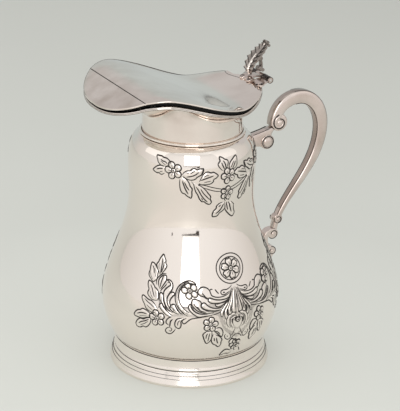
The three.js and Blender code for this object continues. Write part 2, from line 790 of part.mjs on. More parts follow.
function stopperScrew() {
  const headTop = discBottom - seatGap;
  const tip = lidTopAt(0) - lidSheet - screwTipGap;
  return turned([
    [0, headTop - stopperScrewHeadHeight],
    [stopperScrewHead * 0.75, headTop - stopperScrewHeadHeight],
    [stopperScrewHead, headTop - stopperScrewHeadHeight * 0.4],
    [stopperScrewHead, headTop],
    [stopperScrewRadius, headTop],
    [stopperScrewRadius, tip],
    [0, tip],
  ], smallSides);
}

// A flat plate drawn from above and laid over a surface that slopes along X
function laidPlate(shape, bottomAt, thickness) {
  const g = new THREE.ExtrudeGeometry(shape, { depth: 1, bevelEnabled: false, curveSegments: 8 });
  const p = g.getAttribute('position');
  for (let i = 0; i < p.count; i += 1) {
    p.setZ(i, bottomAt(p.getX(i), p.getY(i)) + p.getZ(i) * thickness);
  }
  return g;
}

function lidLeaf() {
  const end = hingeAt - knuckleRadius * 0.5;
  const half = middleKnuckle / 2;
  const shape = new THREE.Shape();
  shape.moveTo(end, -half);
  shape.lineTo(end, half);
  shape.lineTo(lidLobeAt + lidLobeRadius + leafNeck, half - leafTaper);
  shape.absarc(lidLobeAt, lidLobeSide, lidLobeRadius, Math.PI * 0.25, Math.PI * 1.5, false);
  shape.quadraticCurveTo(lidLobeAt - lidLobeRadius * 1.4, 0, lidLobeAt, -(lidLobeSide - lidLobeRadius));
  shape.absarc(lidLobeAt, -lidLobeSide, lidLobeRadius, Math.PI * 0.5, Math.PI * 1.75, false);
  shape.lineTo(lidLobeAt + lidLobeRadius + leafNeck, -half + leafTaper);
  shape.closePath();
  const bottom = (x) => {
    const onLid = lidTopAt(Math.min(x, brimReachRear)) + roundSeatGap;
    return Math.min(onLid, hingeHeight + knuckleRadius - leafThickness);
  };
  const plate = laidPlate(shape, bottom, leafThickness);
  const knuckle = crossDrum(hingeAt, hingeHeight, knuckleRadius, middleKnuckle);
  const bore = crossDrum(hingeAt, hingeHeight, pinRadius + pinGap, middleKnuckle * 2);
  return cut(join(plate, knuckle), bore);
}

function brimKnuckle(side) {
  const inner = middleKnuckle / 2 + seatGap;
  const outer = inner + outerKnuckle;
  const end = hingeAt - knuckleRadius * 0.5;
  const shape = new THREE.Shape();
  shape.moveTo(end, inner);
  shape.lineTo(end, outer);
  shape.lineTo(brimLobeAt + brimLobeRadius, brimLobeSide + brimLobeRadius * 0.5);
  shape.absarc(brimLobeAt, brimLobeSide, brimLobeRadius, Math.PI * 0.2, Math.PI * 1.2, false);
  shape.quadraticCurveTo(brimLobeAt, inner + 4, brimLobeAt + 3, inner + 0.8);
  shape.closePath();
  const bottom = (x, y) => {
    const onBrim = brimTopAt(Math.min(x, brimReachRear - 2 * brimBead), y) + sheetSeatGap;
    const onBead = brimEdgeAt(x) + brimBead + beadSeatGap;
    return Math.min(Math.max(onBrim, onBead), hingeHeight + knuckleRadius - leafThickness);
  };
  const plate = laidPlate(shape, bottom, leafThickness);
  const middle = (inner + outer) / 2;
  const knuckle = crossDrum(hingeAt, hingeHeight, knuckleRadius, outerKnuckle, smallSides, middle);
  const bore = crossDrum(hingeAt, hingeHeight, pinRadius + pinGap, outerKnuckle * 4, smallSides, middle);
  const near = cut(join(plate, knuckle), bore);
  return side > 0 ? near : mirrored(near);
}

// The same piece on the other side of the jug
function mirrored(geometry) {
  return welded(geometry.clone().scale(1, -1, 1));
}

function hingePin() {
  const length = middleKnuckle + 2 * (seatGap + outerKnuckle + pinProud);
  return crossDrum(hingeAt, hingeHeight, pinRadius, length);
}

// Thumbpiece: a ribbed leaf that leans back, with its tip curled up
const leafTopAt = (x) => lidTopAt(Math.min(x, brimReachRear)) + roundSeatGap + leafThickness;
const thumbFoot = leafTopAt(thumbBaseAt) + thumbSeatGap;
const thumbHeight = thumbFoot + thumbRise;

const thumbCurve = new THREE.SplineCurve([
  v2(thumbBaseAt, thumbFoot),
  v2(thumbBaseAt - 0.6, thumbFoot + thumbRise * 0.2),
  v2(thumbBaseAt + thumbLean * 0.22, thumbFoot + thumbRise * 0.45),
  v2(thumbBaseAt + thumbLean * 0.62, thumbFoot + thumbRise * 0.67),
  v2(thumbBaseAt + thumbLean * 0.94, thumbFoot + thumbRise * 0.85),
  v2(thumbBaseAt + thumbLean, thumbHeight),
]);

function thumbLeaf() {
  const rings = [];
  const steps = 14;
  for (let i = 0; i <= steps; i += 1) {
    const t = i / steps;
    const p = thumbCurve.getPoint(t);
    const d = thumbCurve.getTangent(t);
    const spread = 0.5 + 0.5 * Math.sin(Math.PI * Math.min(1, t * 1.15) ** 0.9) - 0.28 * t ** 3;
    const half = (thumbWidth / 2) * spread;
    const t2 = thumbThickness / 2;
    const point = (u, w) => v3(p.x - d.y * u, w, i ? p.y + d.x * u : thumbFoot);
    rings.push([
      point(t2, 0),
      point(0.1 * t2, half * 0.45),
      point(0.3 * t2, half),
      point(-0.5 * t2, half),
      point(-t2, half * 0.4),
      point(-t2, -half * 0.4),
      point(-0.5 * t2, -half),
      point(0.3 * t2, -half),
      point(0.1 * t2, -half * 0.45),
    ]);
  }
  return loft(rings);
}

function thumbScroll() {
  const lean = thumbCurve.getPoint(0.5);
  const off = thumbThickness / 2 + thumbScrollThickness / 2 + seatGap + 0.4;
  const start = v2(lean.x + off * 0.8 + 0.8, lean.y - off * 0.6 - 0.4);
  const foot = v2(hingeAt - 0.4, hingeHeight + knuckleRadius + seatGap + thumbScrollThickness / 2);
  const curve = new THREE.CubicBezierCurve(
    start,
    v2(start.x + thumbLean * 0.75, start.y - 0.5),
    v2(foot.x + 4.4, foot.y + 5.5),
    foot,
  );
  return strap(curve, () => [thumbScrollThickness, thumbScrollWidth], 10, 8);
}

// Handle: an arch from the upper volute over the crown and down to the lower end
const handleCurve = new THREE.CurvePath();
handleCurve.add(new THREE.CubicBezierCurve(
  v2(handleStartAt, handleStartHeight),
  v2(handleStartAt, handleStartHeight + (handleCrownHeight - handleStartHeight) * 0.6),
  v2(handleCrownAt - (handleCrownAt - handleStartAt) * 0.55, handleCrownHeight),
  v2(handleCrownAt, handleCrownHeight),
));
handleCurve.add(new THREE.CubicBezierCurve(
  v2(handleCrownAt, handleCrownHeight),
  v2(handleCrownAt + (handleReach - handleCrownAt) * 0.56, handleCrownHeight),
  v2(handleReach, handleReachHeight + (handleCrownHeight - handleReachHeight) * 0.56),
  v2(handleReach, handleReachHeight),
));
handleCurve.add(new THREE.CubicBezierCurve(
  v2(handleReach, handleReachHeight),
  v2(handleReach, handleReachHeight - (handleReachHeight - handleEndHeight) * 0.42),
  v2(handleEndAt + handleEndLean, handleEndHeight + handleEndPull),
  v2(handleEndAt, handleEndHeight),
));

const mix = THREE.MathUtils.lerp;
function handleSize(t) {
  const swell = THREE.MathUtils.smoothstep(t, 0, 0.25);
  const taper = THREE.MathUtils.smoothstep(t, 0.3, 1);
  const thickness = mix(mix(handleStartThickness, handleCrownThickness, swell), handleEndThickness, taper);
  return [thickness, mix(handleWidth, handleEndWidth, taper)];
}

const volute = (x, z, radius, boss, width) => [
  crossDrum(x, z, radius, width, voluteSides),
  crossDrum(x, z, boss, width + 2 * bossProud),
];

function handle() {
  const seat = crossDrum(socketVoluteAt, socketVoluteHeight, socketVoluteRadius + roundSeatGap,
    handleWidth * 2, voluteSides);
  const arch = strap(handleCurve, handleSize, 40);
  const whole = join(
    arch,
    ...volute(upperVoluteAt, upperVoluteHeight, upperVoluteRadius, upperVoluteBoss, handleWidth),
    ...volute(lowerVoluteAt, lowerVoluteHeight, lowerVoluteRadius, lowerVoluteBoss, handleEndWidth),
  );
  return cut(whole, seat);
}

// A strip of plate that hugs the body behind a bracket, with round ends
function bodyPad(height, length, width) {
  const rings = [];
  const rows = 10;
  for (let i = 0; i <= rows; i += 1) {
    const u = -Math.cos((Math.PI * i) / rows);
    const z = height + (length / 2) * u;
    const half = Math.max((width / 2) * Math.sqrt(1 - Math.abs(u) ** 2.6), width * 0.06);
    const near = bodyRadiusAt(z) + roundSeatGap;
    const across = [-1, -0.5, 0, 0.5, 1].map((share) => half * share);
    const at = (r, y) => v3(Math.sqrt(r * r - y * y), y, z);
    rings.push([
      ...across.map((y) => at(near, y)),
      ...across.reverse().map((y) => at(near + padThickness, y)),
    ]);
  }
  return loft(rings);
}

function upperBracket() {
  const low = bracketFootHeight - bracketFootLength / 2;
  const high = bracketFootHeight + bracketFootLength / 2;
  const s = new THREE.Shape();
  const r = bracketVoluteRadius;
  s.moveTo(padFaceAt(low), low);
  s.quadraticCurveTo(bracketVoluteAt - 5, low + 0.5, bracketVoluteAt, bracketVoluteHeight - r);
  s.lineTo(bracketVoluteAt + r, bracketVoluteHeight);
  s.quadraticCurveTo(bracketVoluteAt + r + 0.6, bracketVoluteHeight + r - 0.5, upperVoluteAt - 1,
    upperVoluteHeight - 4);
  s.lineTo(upperVoluteAt - upperVoluteRadius - 0.6, upperVoluteHeight - 3.6);
  s.quadraticCurveTo(bracketVoluteAt - 5, high + 2.6, padFaceAt(high), high);
  s.closePath();
  const plate = crossPlate(s, bracketWidth);
  const [drum, boss] = volute(bracketVoluteAt, bracketVoluteHeight, bracketVoluteRadius, bracketVoluteBoss,
    bracketWidth);
  const seat = upperVoluteRadius + roundSeatGap;
  const voluteSeat = crossDrum(upperVoluteAt, upperVoluteHeight, seat, handleWidth * 2, voluteSides);
  const strapSeat = strap(handleCurve.curves[0],
    () => [handleStartThickness + 4 * roundSeatGap, handleWidth * 2], 10);
  return cut(join(plate, drum, boss), voluteSeat, strapSeat);
}

// What lies behind the lower scrolls: the face of the pad, as a solid to cut them with
function behindPad(low, high) {
  const rows = 6;
  const face = [];
  for (let i = 0; i <= rows; i += 1) {
    const z = mix(low, high, i / rows);
    face.push([padFaceAt(z), z]);
  }
  return turned([[0, low], ...face, [0, high]], bodySides * 2);
}

const dropTop = dropVoluteHeight + dropVoluteRadius + dropCrest;
const dropLow = dropVoluteHeight - dropVoluteRadius - dropTail;

// The lower socket: a limb that rises along the pad and rolls over into a volute under the handle's end
function lowerSocket() {
  const low = dropTop + seatGap;
  const high = socketVoluteHeight + socketVoluteRadius - socketLimb / 2;
  const curve = new THREE.CubicBezierCurve(
    v2(padFaceAt(low) + socketLimb * 0.4, low),
    v2(padFaceAt(high) + socketLimb * 0.6, mix(low, high, 0.6)),
    v2(mix(padFaceAt(high), socketVoluteAt, 0.5), high + 0.4),
    v2(socketVoluteAt, high),
  );
  const limb = strap(curve, () => [socketLimb, socketWidth], 10, 8);
  const whole = join(limb, ...volute(socketVoluteAt, socketVoluteHeight, socketVoluteRadius, socketVoluteBoss,
    socketWidth));
  const below = new THREE.BoxGeometry(socketVoluteAt, socketWidth * 2, socketLimb)
    .translate(socketVoluteAt, 0, low - socketLimb / 2);
  return cut(whole, behindPad(dropLow, high + socketLimb), below);
}

// A small scroll that hangs on the pad below the socket
function dropScroll() {
  const at = dropVoluteAt;
  const r = dropVoluteRadius;
  const s = new THREE.Shape();
  const back = padFaceAt(dropTop) - 2;
  s.moveTo(back, dropLow);
  s.lineTo(padFaceAt(dropLow) + 0.8, dropLow);
  s.quadraticCurveTo(at - 1, dropLow + 2, at + r * 0.5, dropVoluteHeight - r * 0.5);
  s.lineTo(at, dropVoluteHeight + r * 0.9);
  s.quadraticCurveTo(at - 1, dropTop, padFaceAt(dropTop) + 1, dropTop);
  s.lineTo(back, dropTop);
  s.closePath();
  const plate = crossPlate(s, dropWidth);
  const whole = join(plate, ...volute(at, dropVoluteHeight, r, dropVoluteBoss, dropWidth));
  return cut(whole, behindPad(dropLow - dropTail, dropTop + dropCrest));
}

// Assembly
const jug = new THREE.Group();
function add(name, geometry, material) {
  const mesh = new THREE.Mesh(geometry, material);
  mesh.name = name;
  jug.add(mesh);
}

add('body_shell', bodyShell(), silver());
add('foot_ring', footRing(), silver());
add('neck_bead', neckBead(), silver());
add('brim', brim(), silver());
add('lid_plate', lidPlate(), silver());
add('lid_seal', lidSeal(), blackRubber());
add('lid_hinge_leaf', lidLeaf(), castSilver());
add('brim_knuckle_near', brimKnuckle(-1), castSilver());
add('brim_knuckle_far', brimKnuckle(1), castSilver());
add('hinge_pin', hingePin(), steel());
add('thumbpiece', thumbLeaf(), castSilver());
add('thumb_scroll', thumbScroll(), castSilver());
add('handle', handle(), castSilver());
add('upper_pad', bodyPad(bracketFootHeight, upperPadLength, upperPadWidth), castSilver());
add('upper_bracket', upperBracket(), castSilver());
add('lower_pad', bodyPad(lowerPadHeight, lowerPadLength, lowerPadWidth), castSilver());
add('lower_socket', lowerSocket(), castSilver());
add('drop_scroll', dropScroll(), castSilver());
add('stopper_plug', stopperPlug(), palePlastic());
add('stopper_disc', stopperDisc(), blackRubber());
add('stopper_screw', stopperScrew(), steel());
add('pouring_liner', pouringLiner(), palePlastic());
add('flask_gasket', flaskGasket(), blackRubber());
add('flask_outer_glass', flaskOuter(), glass());
add('flask_inner_glass', flaskInner(), glass());
for (let i = 0; i < spacerCount; i += 1) add(`flask_spacer_${i + 1}`, spacer(i), cork());
add('flask_cushion', flaskCushion(), cork());
add('base_ring', baseRing(), steel());
add('base_cap', baseCap(), silver());

export default jug;
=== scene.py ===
"""An insulated table jug in silver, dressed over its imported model.

Metres, +Z up. The jug's axis is the Z axis, the spout points to -X and the handle to +X. The camera looks
at the face that points to -Y, which carries chased flowers and leaves, as the opposite face does.
"""

from math import acos, atan2, copysign, cos, exp, hypot, pi, radians, sin, sqrt, tan

import bpy
import numpy as np
from bpy.props import FloatProperty, FloatVectorProperty, PointerProperty
from mathutils import Matrix, Vector


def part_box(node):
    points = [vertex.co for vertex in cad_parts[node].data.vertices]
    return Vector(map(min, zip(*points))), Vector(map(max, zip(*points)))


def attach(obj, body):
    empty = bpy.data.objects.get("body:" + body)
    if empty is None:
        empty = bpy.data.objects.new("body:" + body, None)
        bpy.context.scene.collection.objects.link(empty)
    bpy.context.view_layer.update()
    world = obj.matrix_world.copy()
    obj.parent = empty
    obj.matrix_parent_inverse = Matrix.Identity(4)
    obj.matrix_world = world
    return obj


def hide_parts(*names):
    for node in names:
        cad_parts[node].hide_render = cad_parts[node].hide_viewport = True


bl_info = {
    "name": "Insulated Silver Jug",
    "version": (1, 0, 0),
    "blender": (4, 5, 0),
    "location": "View3D > Sidebar > Jug",
    "description": "Builds a silver insulated jug and its studio, one group of pieces at a time",
    "category": "Object",
}

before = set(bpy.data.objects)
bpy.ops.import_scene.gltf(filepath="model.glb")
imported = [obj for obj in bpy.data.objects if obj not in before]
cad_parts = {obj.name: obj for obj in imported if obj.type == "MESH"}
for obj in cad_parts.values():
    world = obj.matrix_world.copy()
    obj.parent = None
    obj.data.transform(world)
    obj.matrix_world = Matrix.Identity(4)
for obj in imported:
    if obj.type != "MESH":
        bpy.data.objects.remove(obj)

MM = 0.001
VIEW_AZIMUTH = radians(-27.3)  # of the camera, from -Y towards +X
FULL_TURN = 2 * pi
QUARTER = pi / 2
BOXY = 0.55  # how square a domed section is: 1 is an oval, 0 a box
UPPER_SCROLL, LOWER_SCROLL = (79.4 * MM, 196.8 * MM), (81.6 * MM, 110.1 * MM)  # (x, z) of the handle's ends
SOCKET_SCROLL, BRACKET_BOSS = (77 * MM, 97.6 * MM), (68.4 * MM, 181.4 * MM)  # and of what carries them
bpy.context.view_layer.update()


# Sizes and colours that a user may change


def length(name, description, millimetres):
    """A length, drawn in millimetres and kept in metres."""
    return FloatProperty(name=name, description=description, default=millimetres * MM, precision=5,
                         unit="LENGTH", subtype="DISTANCE")


def colour(name, description, red, green, blue):
    return FloatVectorProperty(name=name, description=description, default=(red, green, blue), min=0, max=1,
                               subtype="COLOR")


class JugBodySizes(bpy.types.PropertyGroup):
    """Sizes of the round pieces."""

    belly_radius: length("Belly radius", "Widest radius of the body", 73.7)
    belly_height: length("Belly height", "Height of the widest place", 58)
    waist_radius: length("Waist radius", "Narrowest radius of the body", 51.5)
    waist_height: length("Waist height", "Height of the waist", 150)
    shoulder_radius: length("Shoulder radius", "Radius under the neck", 52.3)
    shoulder_height: length("Shoulder height", "Where the shoulder starts to turn in", 173)
    neck_radius: length("Neck radius", "Outside of the neck", 41)
    neck_height: length("Neck height", "Where the neck stands on the shoulder", 200)
    wall: length("Wall", "Thickness of the silver", 1.2)
    foot_radius: length("Foot radius", "Rim that stands on the table", 67)
    foot_height: length("Foot height", "Top of the foot", 22.7)
    foot_top_radius: length("Foot top radius", "Upper moulding of the foot", 62.6)
    foot_step_radius: length("Foot step radius", "Shoulder of the spread skirt", 64)
    foot_step_height: length("Foot step height", "Height of that shoulder", 13.6)
    foot_groove_radius: length("Foot groove radius", "Crevice between skirt and moulding", 61)
    bead_radius: length("Bead radius", "Soldered bead at the neck", 1.1)


class JugBrimSizes(bpy.types.PropertyGroup):
    """Sizes of the brim and the lid."""

    reach_front: length("Front reach", "Spout lip from the axis", 87.5)
    reach_rear: length("Rear reach", "Rear of the brim from the axis", 56)
    half_width: length("Half width", "Half of the brim's width", 66.7)
    widest_at: length("Widest at", "Widest place in front of the axis", 20)
    pinch_at: length("Pinch at", "Start of the rear curve behind the axis", 20)
    pinch_half_width: length("Pinch half width", "Half width there", 51.3)
    flare_height: length("Flare height", "Height of the flare under the edge", 16)
    edge_radius: length("Edge radius", "Rolled edge of the brim", 1.3)
    lid_sheet: length("Lid sheet", "Thickness of the lid", 1.4)
    hinge_end_height: length("Hinge end height", "Lid's height at its rear", 240)
    dip_at: length("Dip at", "Lowest place of the lid behind the axis", 20)
    dip_height: length("Dip height", "Lid's height there", 230.3)
    crest_at: length("Crest at", "Highest place in front of the axis", 52)
    crest_height: length("Crest height", "Lid's height there", 249.1)
    crease_at: length("Crease at", "Crease across the lid in front of the axis", 67)
    crease_height: length("Crease height", "Lid's height there", 246.5)
    lip_height: length("Lip height", "Lid's height over the spout's lip", 235.2)
    lid_rear: length("Lid rear", "Rear edge of the lid behind the axis", 47)


class JugHandleSizes(bpy.types.PropertyGroup):
    """Sizes of the handle, its scrolls and the thumbpiece."""

    width: length("Handle width", "Width of the handle at its crown", 10)
    end_width: length("End width", "Width of the handle at its lower end", 7.4)
    start_thickness: length("Start thickness", "Thickness beside the upper scroll", 10)
    crown_thickness: length("Crown thickness", "Thickness at the crown", 12)
    end_thickness: length("End thickness", "Thickness of the lower end", 4.4)
    hinge_at: length("Hinge at", "Hinge pin behind the axis", 62)
    hinge_height: length("Hinge height", "Height of the hinge pin", 239)
    knuckle_radius: length("Knuckle radius", "Radius of the hinge knuckles", 2.6)
    thumb_at: length("Thumbpiece at", "Foot of the thumbpiece behind the axis", 52)
    thumb_foot: length("Thumbpiece foot", "Height of its foot", 241.44)
    thumb_rise: length("Thumbpiece rise", "Its tip above its foot", 26.6)
    thumb_lean: length("Thumbpiece lean", "Its tip behind its foot", 14.5)
    thumb_width: length("Thumbpiece width", "Width of the leaf", 16)


class JugChasingSizes(bpy.types.PropertyGroup):
    """Sizes of the chased flowers and leaves."""

    relief: length("Relief", "Height of a leaf above the body", 0.5)
    line: length("Line", "Width of the chased outlines", 0.92)
    turn: FloatProperty(name="Turn", description="Middle of the ornament, turned towards the handle",
                        default=radians(4.5), unit="ROTATION", subtype="ANGLE")


class JugColours(bpy.types.PropertyGroup):
    """Colours of the materials."""

    silver: colour("Silver", "Polished silver", 0.935, 0.868, 0.812)
    cast: colour("Cast silver", "Silver of the cast pieces", 0.80, 0.70, 0.655)
    # The tarnish colour also serves the thin dark lines that are painted shade and painted reflections.
    tarnish: colour("Tarnish", "Darkened silver in lines and corners", 0.022, 0.017, 0.014)
    seal: colour("Seal", "Black rubber", 0.006, 0.006, 0.006)
    plastic: colour("Plastic", "Pale plastic of the stopper", 0.78, 0.75, 0.68)
    cork: colour("Cork", "Cork under the flask", 0.42, 0.24, 0.12)
    glass: colour("Glass", "Silvered glass of the flask", 0.72, 0.75, 0.76)
    steel: colour("Steel", "Steel pin and screw", 0.62, 0.61, 0.6)
    floor: colour("Floor", "Floor and backdrop", 0.535, 0.552, 0.522)


class JugStage(bpy.types.PropertyGroup):
    """Camera and light."""

    lens: FloatProperty(name="Lens", description="Focal length in millimetres", default=152.02)
    daylight: FloatProperty(name="Daylight", description="Strength of the light all round", default=0.98)
    key: FloatProperty(name="Key", description="Power of the tall softbox behind the camera", default=13,
                       unit="POWER")
    wall: colour("Wall", "Room in front of the jug", 0.95, 0.94, 0.925)
    backdrop: colour("Backdrop", "Room behind the jug", 0.535, 0.58, 0.57)
    side: colour("Side", "Room beside the jug", 0.60, 0.578, 0.545)
    ceiling: colour("Ceiling", "Room above the jug", 0.66, 0.66, 0.64)
    shade: colour("Shade", "Room above the backdrop", 0.57, 0.555, 0.55)
    board: colour("Board", "Edge of a dark board far in front of the jug", 0.05, 0.04, 0.035)


# Ways of drawing and shaping


def blend(a, b, share):
    return a + (b - a) * share


def eased(low, high, x):
    """0 below low, 1 above high and a soft step between them."""
    t = np.clip((x - low) / (high - low), 0, 1)
    return t * t * (3 - 2 * t)


def arc(a, b, c, d, count):
    """Points along one cubic curve, its start left out."""
    t = np.linspace(0, 1, count + 1)[1:, None]
    a, b, c, d = (np.array(p, float) for p in (a, b, c, d))
    return a * (1 - t) ** 3 + 3 * b * t * (1 - t) ** 2 + 3 * c * t * t * (1 - t) + d * t ** 3


def through(points, count):
    """A smooth line through all of these points."""
    p = np.array(points, float)
    p = np.vstack([2 * p[0] - p[1], p, 2 * p[-1] - p[-2]])
    spans = len(p) - 3
    out = []
    for t in np.linspace(0, spans, count):
        i = min(int(t), spans - 1)
        s = t - i
        a, b, c, d = p[i:i + 4]
        out.append(0.5 * (2 * b + (c - a) * s + (2 * a - 5 * b + 4 * c - d) * s * s
                          + (3 * b - a - 3 * c + d) * s ** 3))
    return np.array(out)


def tangents(path):
    d = np.gradient(path, axis=0)
    return d / np.linalg.norm(d, axis=1)[:, None]


def deselect_all():
    if bpy.context.object and bpy.context.object.mode != "OBJECT":
        bpy.ops.object.mode_set(mode="OBJECT")
    bpy.ops.object.select_all(action="DESELECT")


def choose(piece):
    """Selects this piece alone and makes it the active one."""
    deselect_all()
    piece.select_set(True)
    bpy.context.view_layer.objects.active = piece


def start_drawing(name):
    """A new mesh of one point, selected and open in edit mode."""
    deselect_all()
    bpy.ops.mesh.primitive_plane_add(size=MM)
    piece = bpy.context.object
    piece.name = piece.data.name = name
    bpy.ops.object.mode_set(mode="EDIT")
    bpy.ops.mesh.select_mode(type="VERT")
    bpy.ops.mesh.merge(type="CENTER")
    return piece


def draw_out(step):
    bpy.ops.mesh.extrude_region_move(TRANSFORM_OT_translate={"value": step})


def draw_line(points):
    """Draws on from the selected point, which lies at the origin, through all of these places."""
    here = Vector(points[0])
    bpy.ops.transform.translate(value=here)
    for point in points[1:]:
        step = Vector(point) - here
        draw_out(step)
        here = here + step


def fill(places):
    """Draws a closed line from the selected point and fills it with one face."""
    draw_line(places)
    bpy.ops.mesh.select_all(action="SELECT")
    bpy.ops.mesh.edge_face_add()


def finish_drawing():
    """Welds places that meet, turns all faces outwards and leaves edit mode."""
    bpy.ops.mesh.select_all(action="SELECT")
    bpy.ops.mesh.remove_doubles(threshold=0.002 * MM)
    bpy.ops.mesh.normals_make_consistent(inside=False)
    bpy.ops.object.mode_set(mode="OBJECT")


def smooth(piece, degrees):
    choose(piece)
    bpy.ops.object.shade_smooth_by_angle(angle=radians(degrees))
    return piece


def turned(name, outline, steps, centre=(0, 0, 0), axis=(0, 0, 1), degrees=30):
    """A round piece: its half outline is drawn point by point and spun about an axis."""
    piece = start_drawing(name)
    draw_line(outline)
    bpy.ops.mesh.select_all(action="SELECT")
    bpy.ops.mesh.spin(steps=steps, angle=FULL_TURN, center=centre, axis=axis)
    finish_drawing()
    return smooth(piece, degrees)


def round_the_jug(profile):
    """[radius, height] points as places in the plane that is spun."""
    return [(r, 0, z) for r, z in profile]


def on_circle(centre, radius, angles, high=None):
    """Places at these angles on a circle, or on an oval where its half height is given."""
    high = radius if high is None else high
    return [(centre[0] + radius * cos(a), centre[1] + high * sin(a)) for a in angles]


def whole(count):
    """Angles once all round, the first and the last the same."""
    return np.linspace(0, FULL_TURN, count)


def rounded(centre, radius, start, end):
    """Places on part of a circle, from one angle in degrees to another."""
    return on_circle(centre, radius, np.radians(np.linspace(start, end, 14)))


def across_path(p, d, u, w):
    """A place beside a path in the jug's middle plane: u off it in the plane and w across the jug."""
    return (p[0] - d[1] * u, w, p[1] + d[0] * u)


def drum(name, x, z, radius, half_width, corner, steps=48, y=0):
    """A round slug that lies across the jug, with rounded rims."""
    ends = [(0, -half_width), (radius - corner, -half_width)]
    ends += [(radius - corner + corner * sin(a), -half_width + corner - corner * cos(a))
             for a in np.linspace(0, QUARTER, 5)[1:]]
    outline = ends + [(r, -w) for r, w in reversed(ends)]
    places = [(x + r, y + w, z) for r, w in outline]
    return turned(name, places, steps, (x, 0, z), (0, 1, 0), 40)


def skin(name, rings, loop=False, degrees=30):
    """A skin through rows of equal rings, for the waved and curled shapes that no spin can give."""
    rings = np.array(rings, float)
    rows, n = rings.shape[:2]
    verts = rings.reshape(-1, 3)
    faces = []
    for i in range(rows if loop else rows - 1):
        j = (i + 1) % rows
        for k in range(n):
            m = (k + 1) % n
            faces.append((i * n + k, j * n + k, j * n + m, i * n + m))
    if not loop:
        faces.append(tuple(range(n)))
        faces.append(tuple(reversed(range((rows - 1) * n, rows * n))))
    return from_faces(name, verts, faces, degrees)


def from_faces(name, verts, faces, degrees=30):
    mesh = bpy.data.meshes.new(name)
    mesh.from_pydata([tuple(v) for v in verts], [], faces)
    piece = bpy.data.objects.new(name, mesh)
    bpy.context.scene.collection.objects.link(piece)
    choose(piece)
    bpy.ops.object.mode_set(mode="EDIT")
    bpy.ops.mesh.select_mode(type="VERT")
    finish_drawing()
    return smooth(piece, degrees)


def joined(name, pieces):
    """Several closed shapes made one piece."""
    deselect_all()
    for piece in pieces:
        piece.select_set(True)
    bpy.context.view_layer.objects.active = pieces[0]
    bpy.ops.object.join()
    pieces[0].name = pieces[0].data.name = name
    return pieces[0]


def mirrored(piece, name):
    """A copy with its own mesh, mirrored to the jug's other side."""
    choose(piece)
    bpy.ops.object.duplicate(linked=False)
    copy = bpy.context.object
    copy.name = copy.data.name = name
    copy.scale = (1, -1, 1)
    bpy.ops.object.transform_apply(location=False, rotation=False, scale=True)
    bpy.ops.object.mode_set(mode="EDIT")
    bpy.ops.mesh.select_all(action="SELECT")
    bpy.ops.mesh.normals_make_consistent(inside=False)
    bpy.ops.object.mode_set(mode="OBJECT")
    return copy


def section(thickness, width, corner):
    """A strap's cross section with rounded corners: (through its thickness, across the jug)."""
    u, w = thickness / 2, width / 2
    corner = min(corner, u * 0.8, w * 0.8)
    out = []
    for quarter in range(4):
        start = quarter * QUARTER
        cu = (u - corner) * (1 if quarter in (0, 3) else -1)
        cw = (w - corner) * (1 if quarter in (0, 1) else -1)
        ring = [(cu + corner * cos(a), cw + corner * sin(a))
                for a in np.linspace(start, start + QUARTER, 7)]
        along = (-sin(start), cos(start))
        onward = (-sin(start + QUARTER), cos(start + QUARTER))
        hold = min(corner * 0.35, (u - corner) * 0.8, (w - corner) * 0.8)
        first = (ring[0][0] - along[0] * hold, ring[0][1] - along[1] * hold)
        last = (ring[-1][0] + onward[0] * hold, ring[-1][1] + onward[1] * hold)
        out += [first] + ring + [last]
    return out


def domed_section(thickness, width):
    """A cross section between a box and an oval, all its faces a little domed."""
    def reach(value):
        return copysign(abs(value) ** BOXY, value)

    return [(thickness / 2 * reach(cos(a)), width / 2 * reach(sin(a)))
            for a in np.linspace(0, FULL_TURN, 36, endpoint=False)]


def strap(name, path, size, corner):
    """A strap swept along (x, z) places in the jug's middle plane; size(t) gives thickness and width."""
    path = np.array(path, float)
    heading = tangents(path)
    rings = []
    for i, (p, d) in enumerate(zip(path, heading)):
        thickness, width = size(i / (len(path) - 1))
        shape = section(thickness, width, corner) if corner else domed_section(thickness, width)
        rings.append([across_path(p, d, u, w) for u, w in shape])
    return skin(name, rings)


def wire(name, path, radius, sides=6):
    """A round wire along places in space. Its radius is one number, or one for each place."""
    path = np.array(path, float)
    radius = np.broadcast_to(radius, len(path))
    heading = tangents(path)
    rings = []
    side = np.array((0.0, 1.0, 0.0)) if abs(heading[0][1]) < 0.9 else np.array((1.0, 0.0, 0.0))
    for p, d, r in zip(path, heading, radius):
        side = side - d * side.dot(d)
        side = side / np.linalg.norm(side)
        up = np.cross(d, side)
        rings.append([p + r * (cos(a) * side + sin(a) * up)
                      for a in np.linspace(0, FULL_TURN, sides, endpoint=False)])
    return skin(name, rings, degrees=50)


def plate(name, outline, half_width, corner):
    """A flat outline of (x, z) places filled, drawn out across the jug and rounded at its rims."""
    piece = start_drawing(name)
    fill([(x, -half_width, z) for x, z in outline])
    draw_out((0, 2 * half_width, 0))
    finish_drawing()
    return bevelled(piece, corner)


def modified(piece, kind, **settings):
    """Adds a modifier with these settings to a piece and applies it."""
    choose(piece)
    bpy.ops.object.modifier_add(type=kind)
    step = piece.modifiers[-1]
    for name, value in settings.items():
        setattr(step, name, value)
    bpy.ops.object.modifier_apply(modifier=step.name)


def bevelled(piece, corner, angle=35):
    modified(piece, "BEVEL", width=corner, segments=2, limit_method="ANGLE", angle_limit=radians(angle))
    return smooth(piece, 40)


def combined(piece, tool, operation="UNION"):
    """Joins a shape to a piece, or cuts it away, and deletes it."""
    modified(piece, "BOOLEAN", object=tool, operation=operation, solver="EXACT")
    bpy.data.objects.remove(tool, do_unlink=True)
    if not piece.data.polygons:
        raise RuntimeError(f"{piece.name} was cut away whole")
    return smooth(piece, 35)


def paint(piece, material):
    piece.data.materials.clear()
    piece.data.materials.append(material)


def finish_faces(piece, material, chosen):
    """Gives a finish of their own to the faces that are chosen by their centre and their normal."""
    piece.data.materials.append(material)
    for face in piece.data.polygons:
        if chosen(face.center, face.normal):
            face.material_index = len(piece.data.materials) - 1


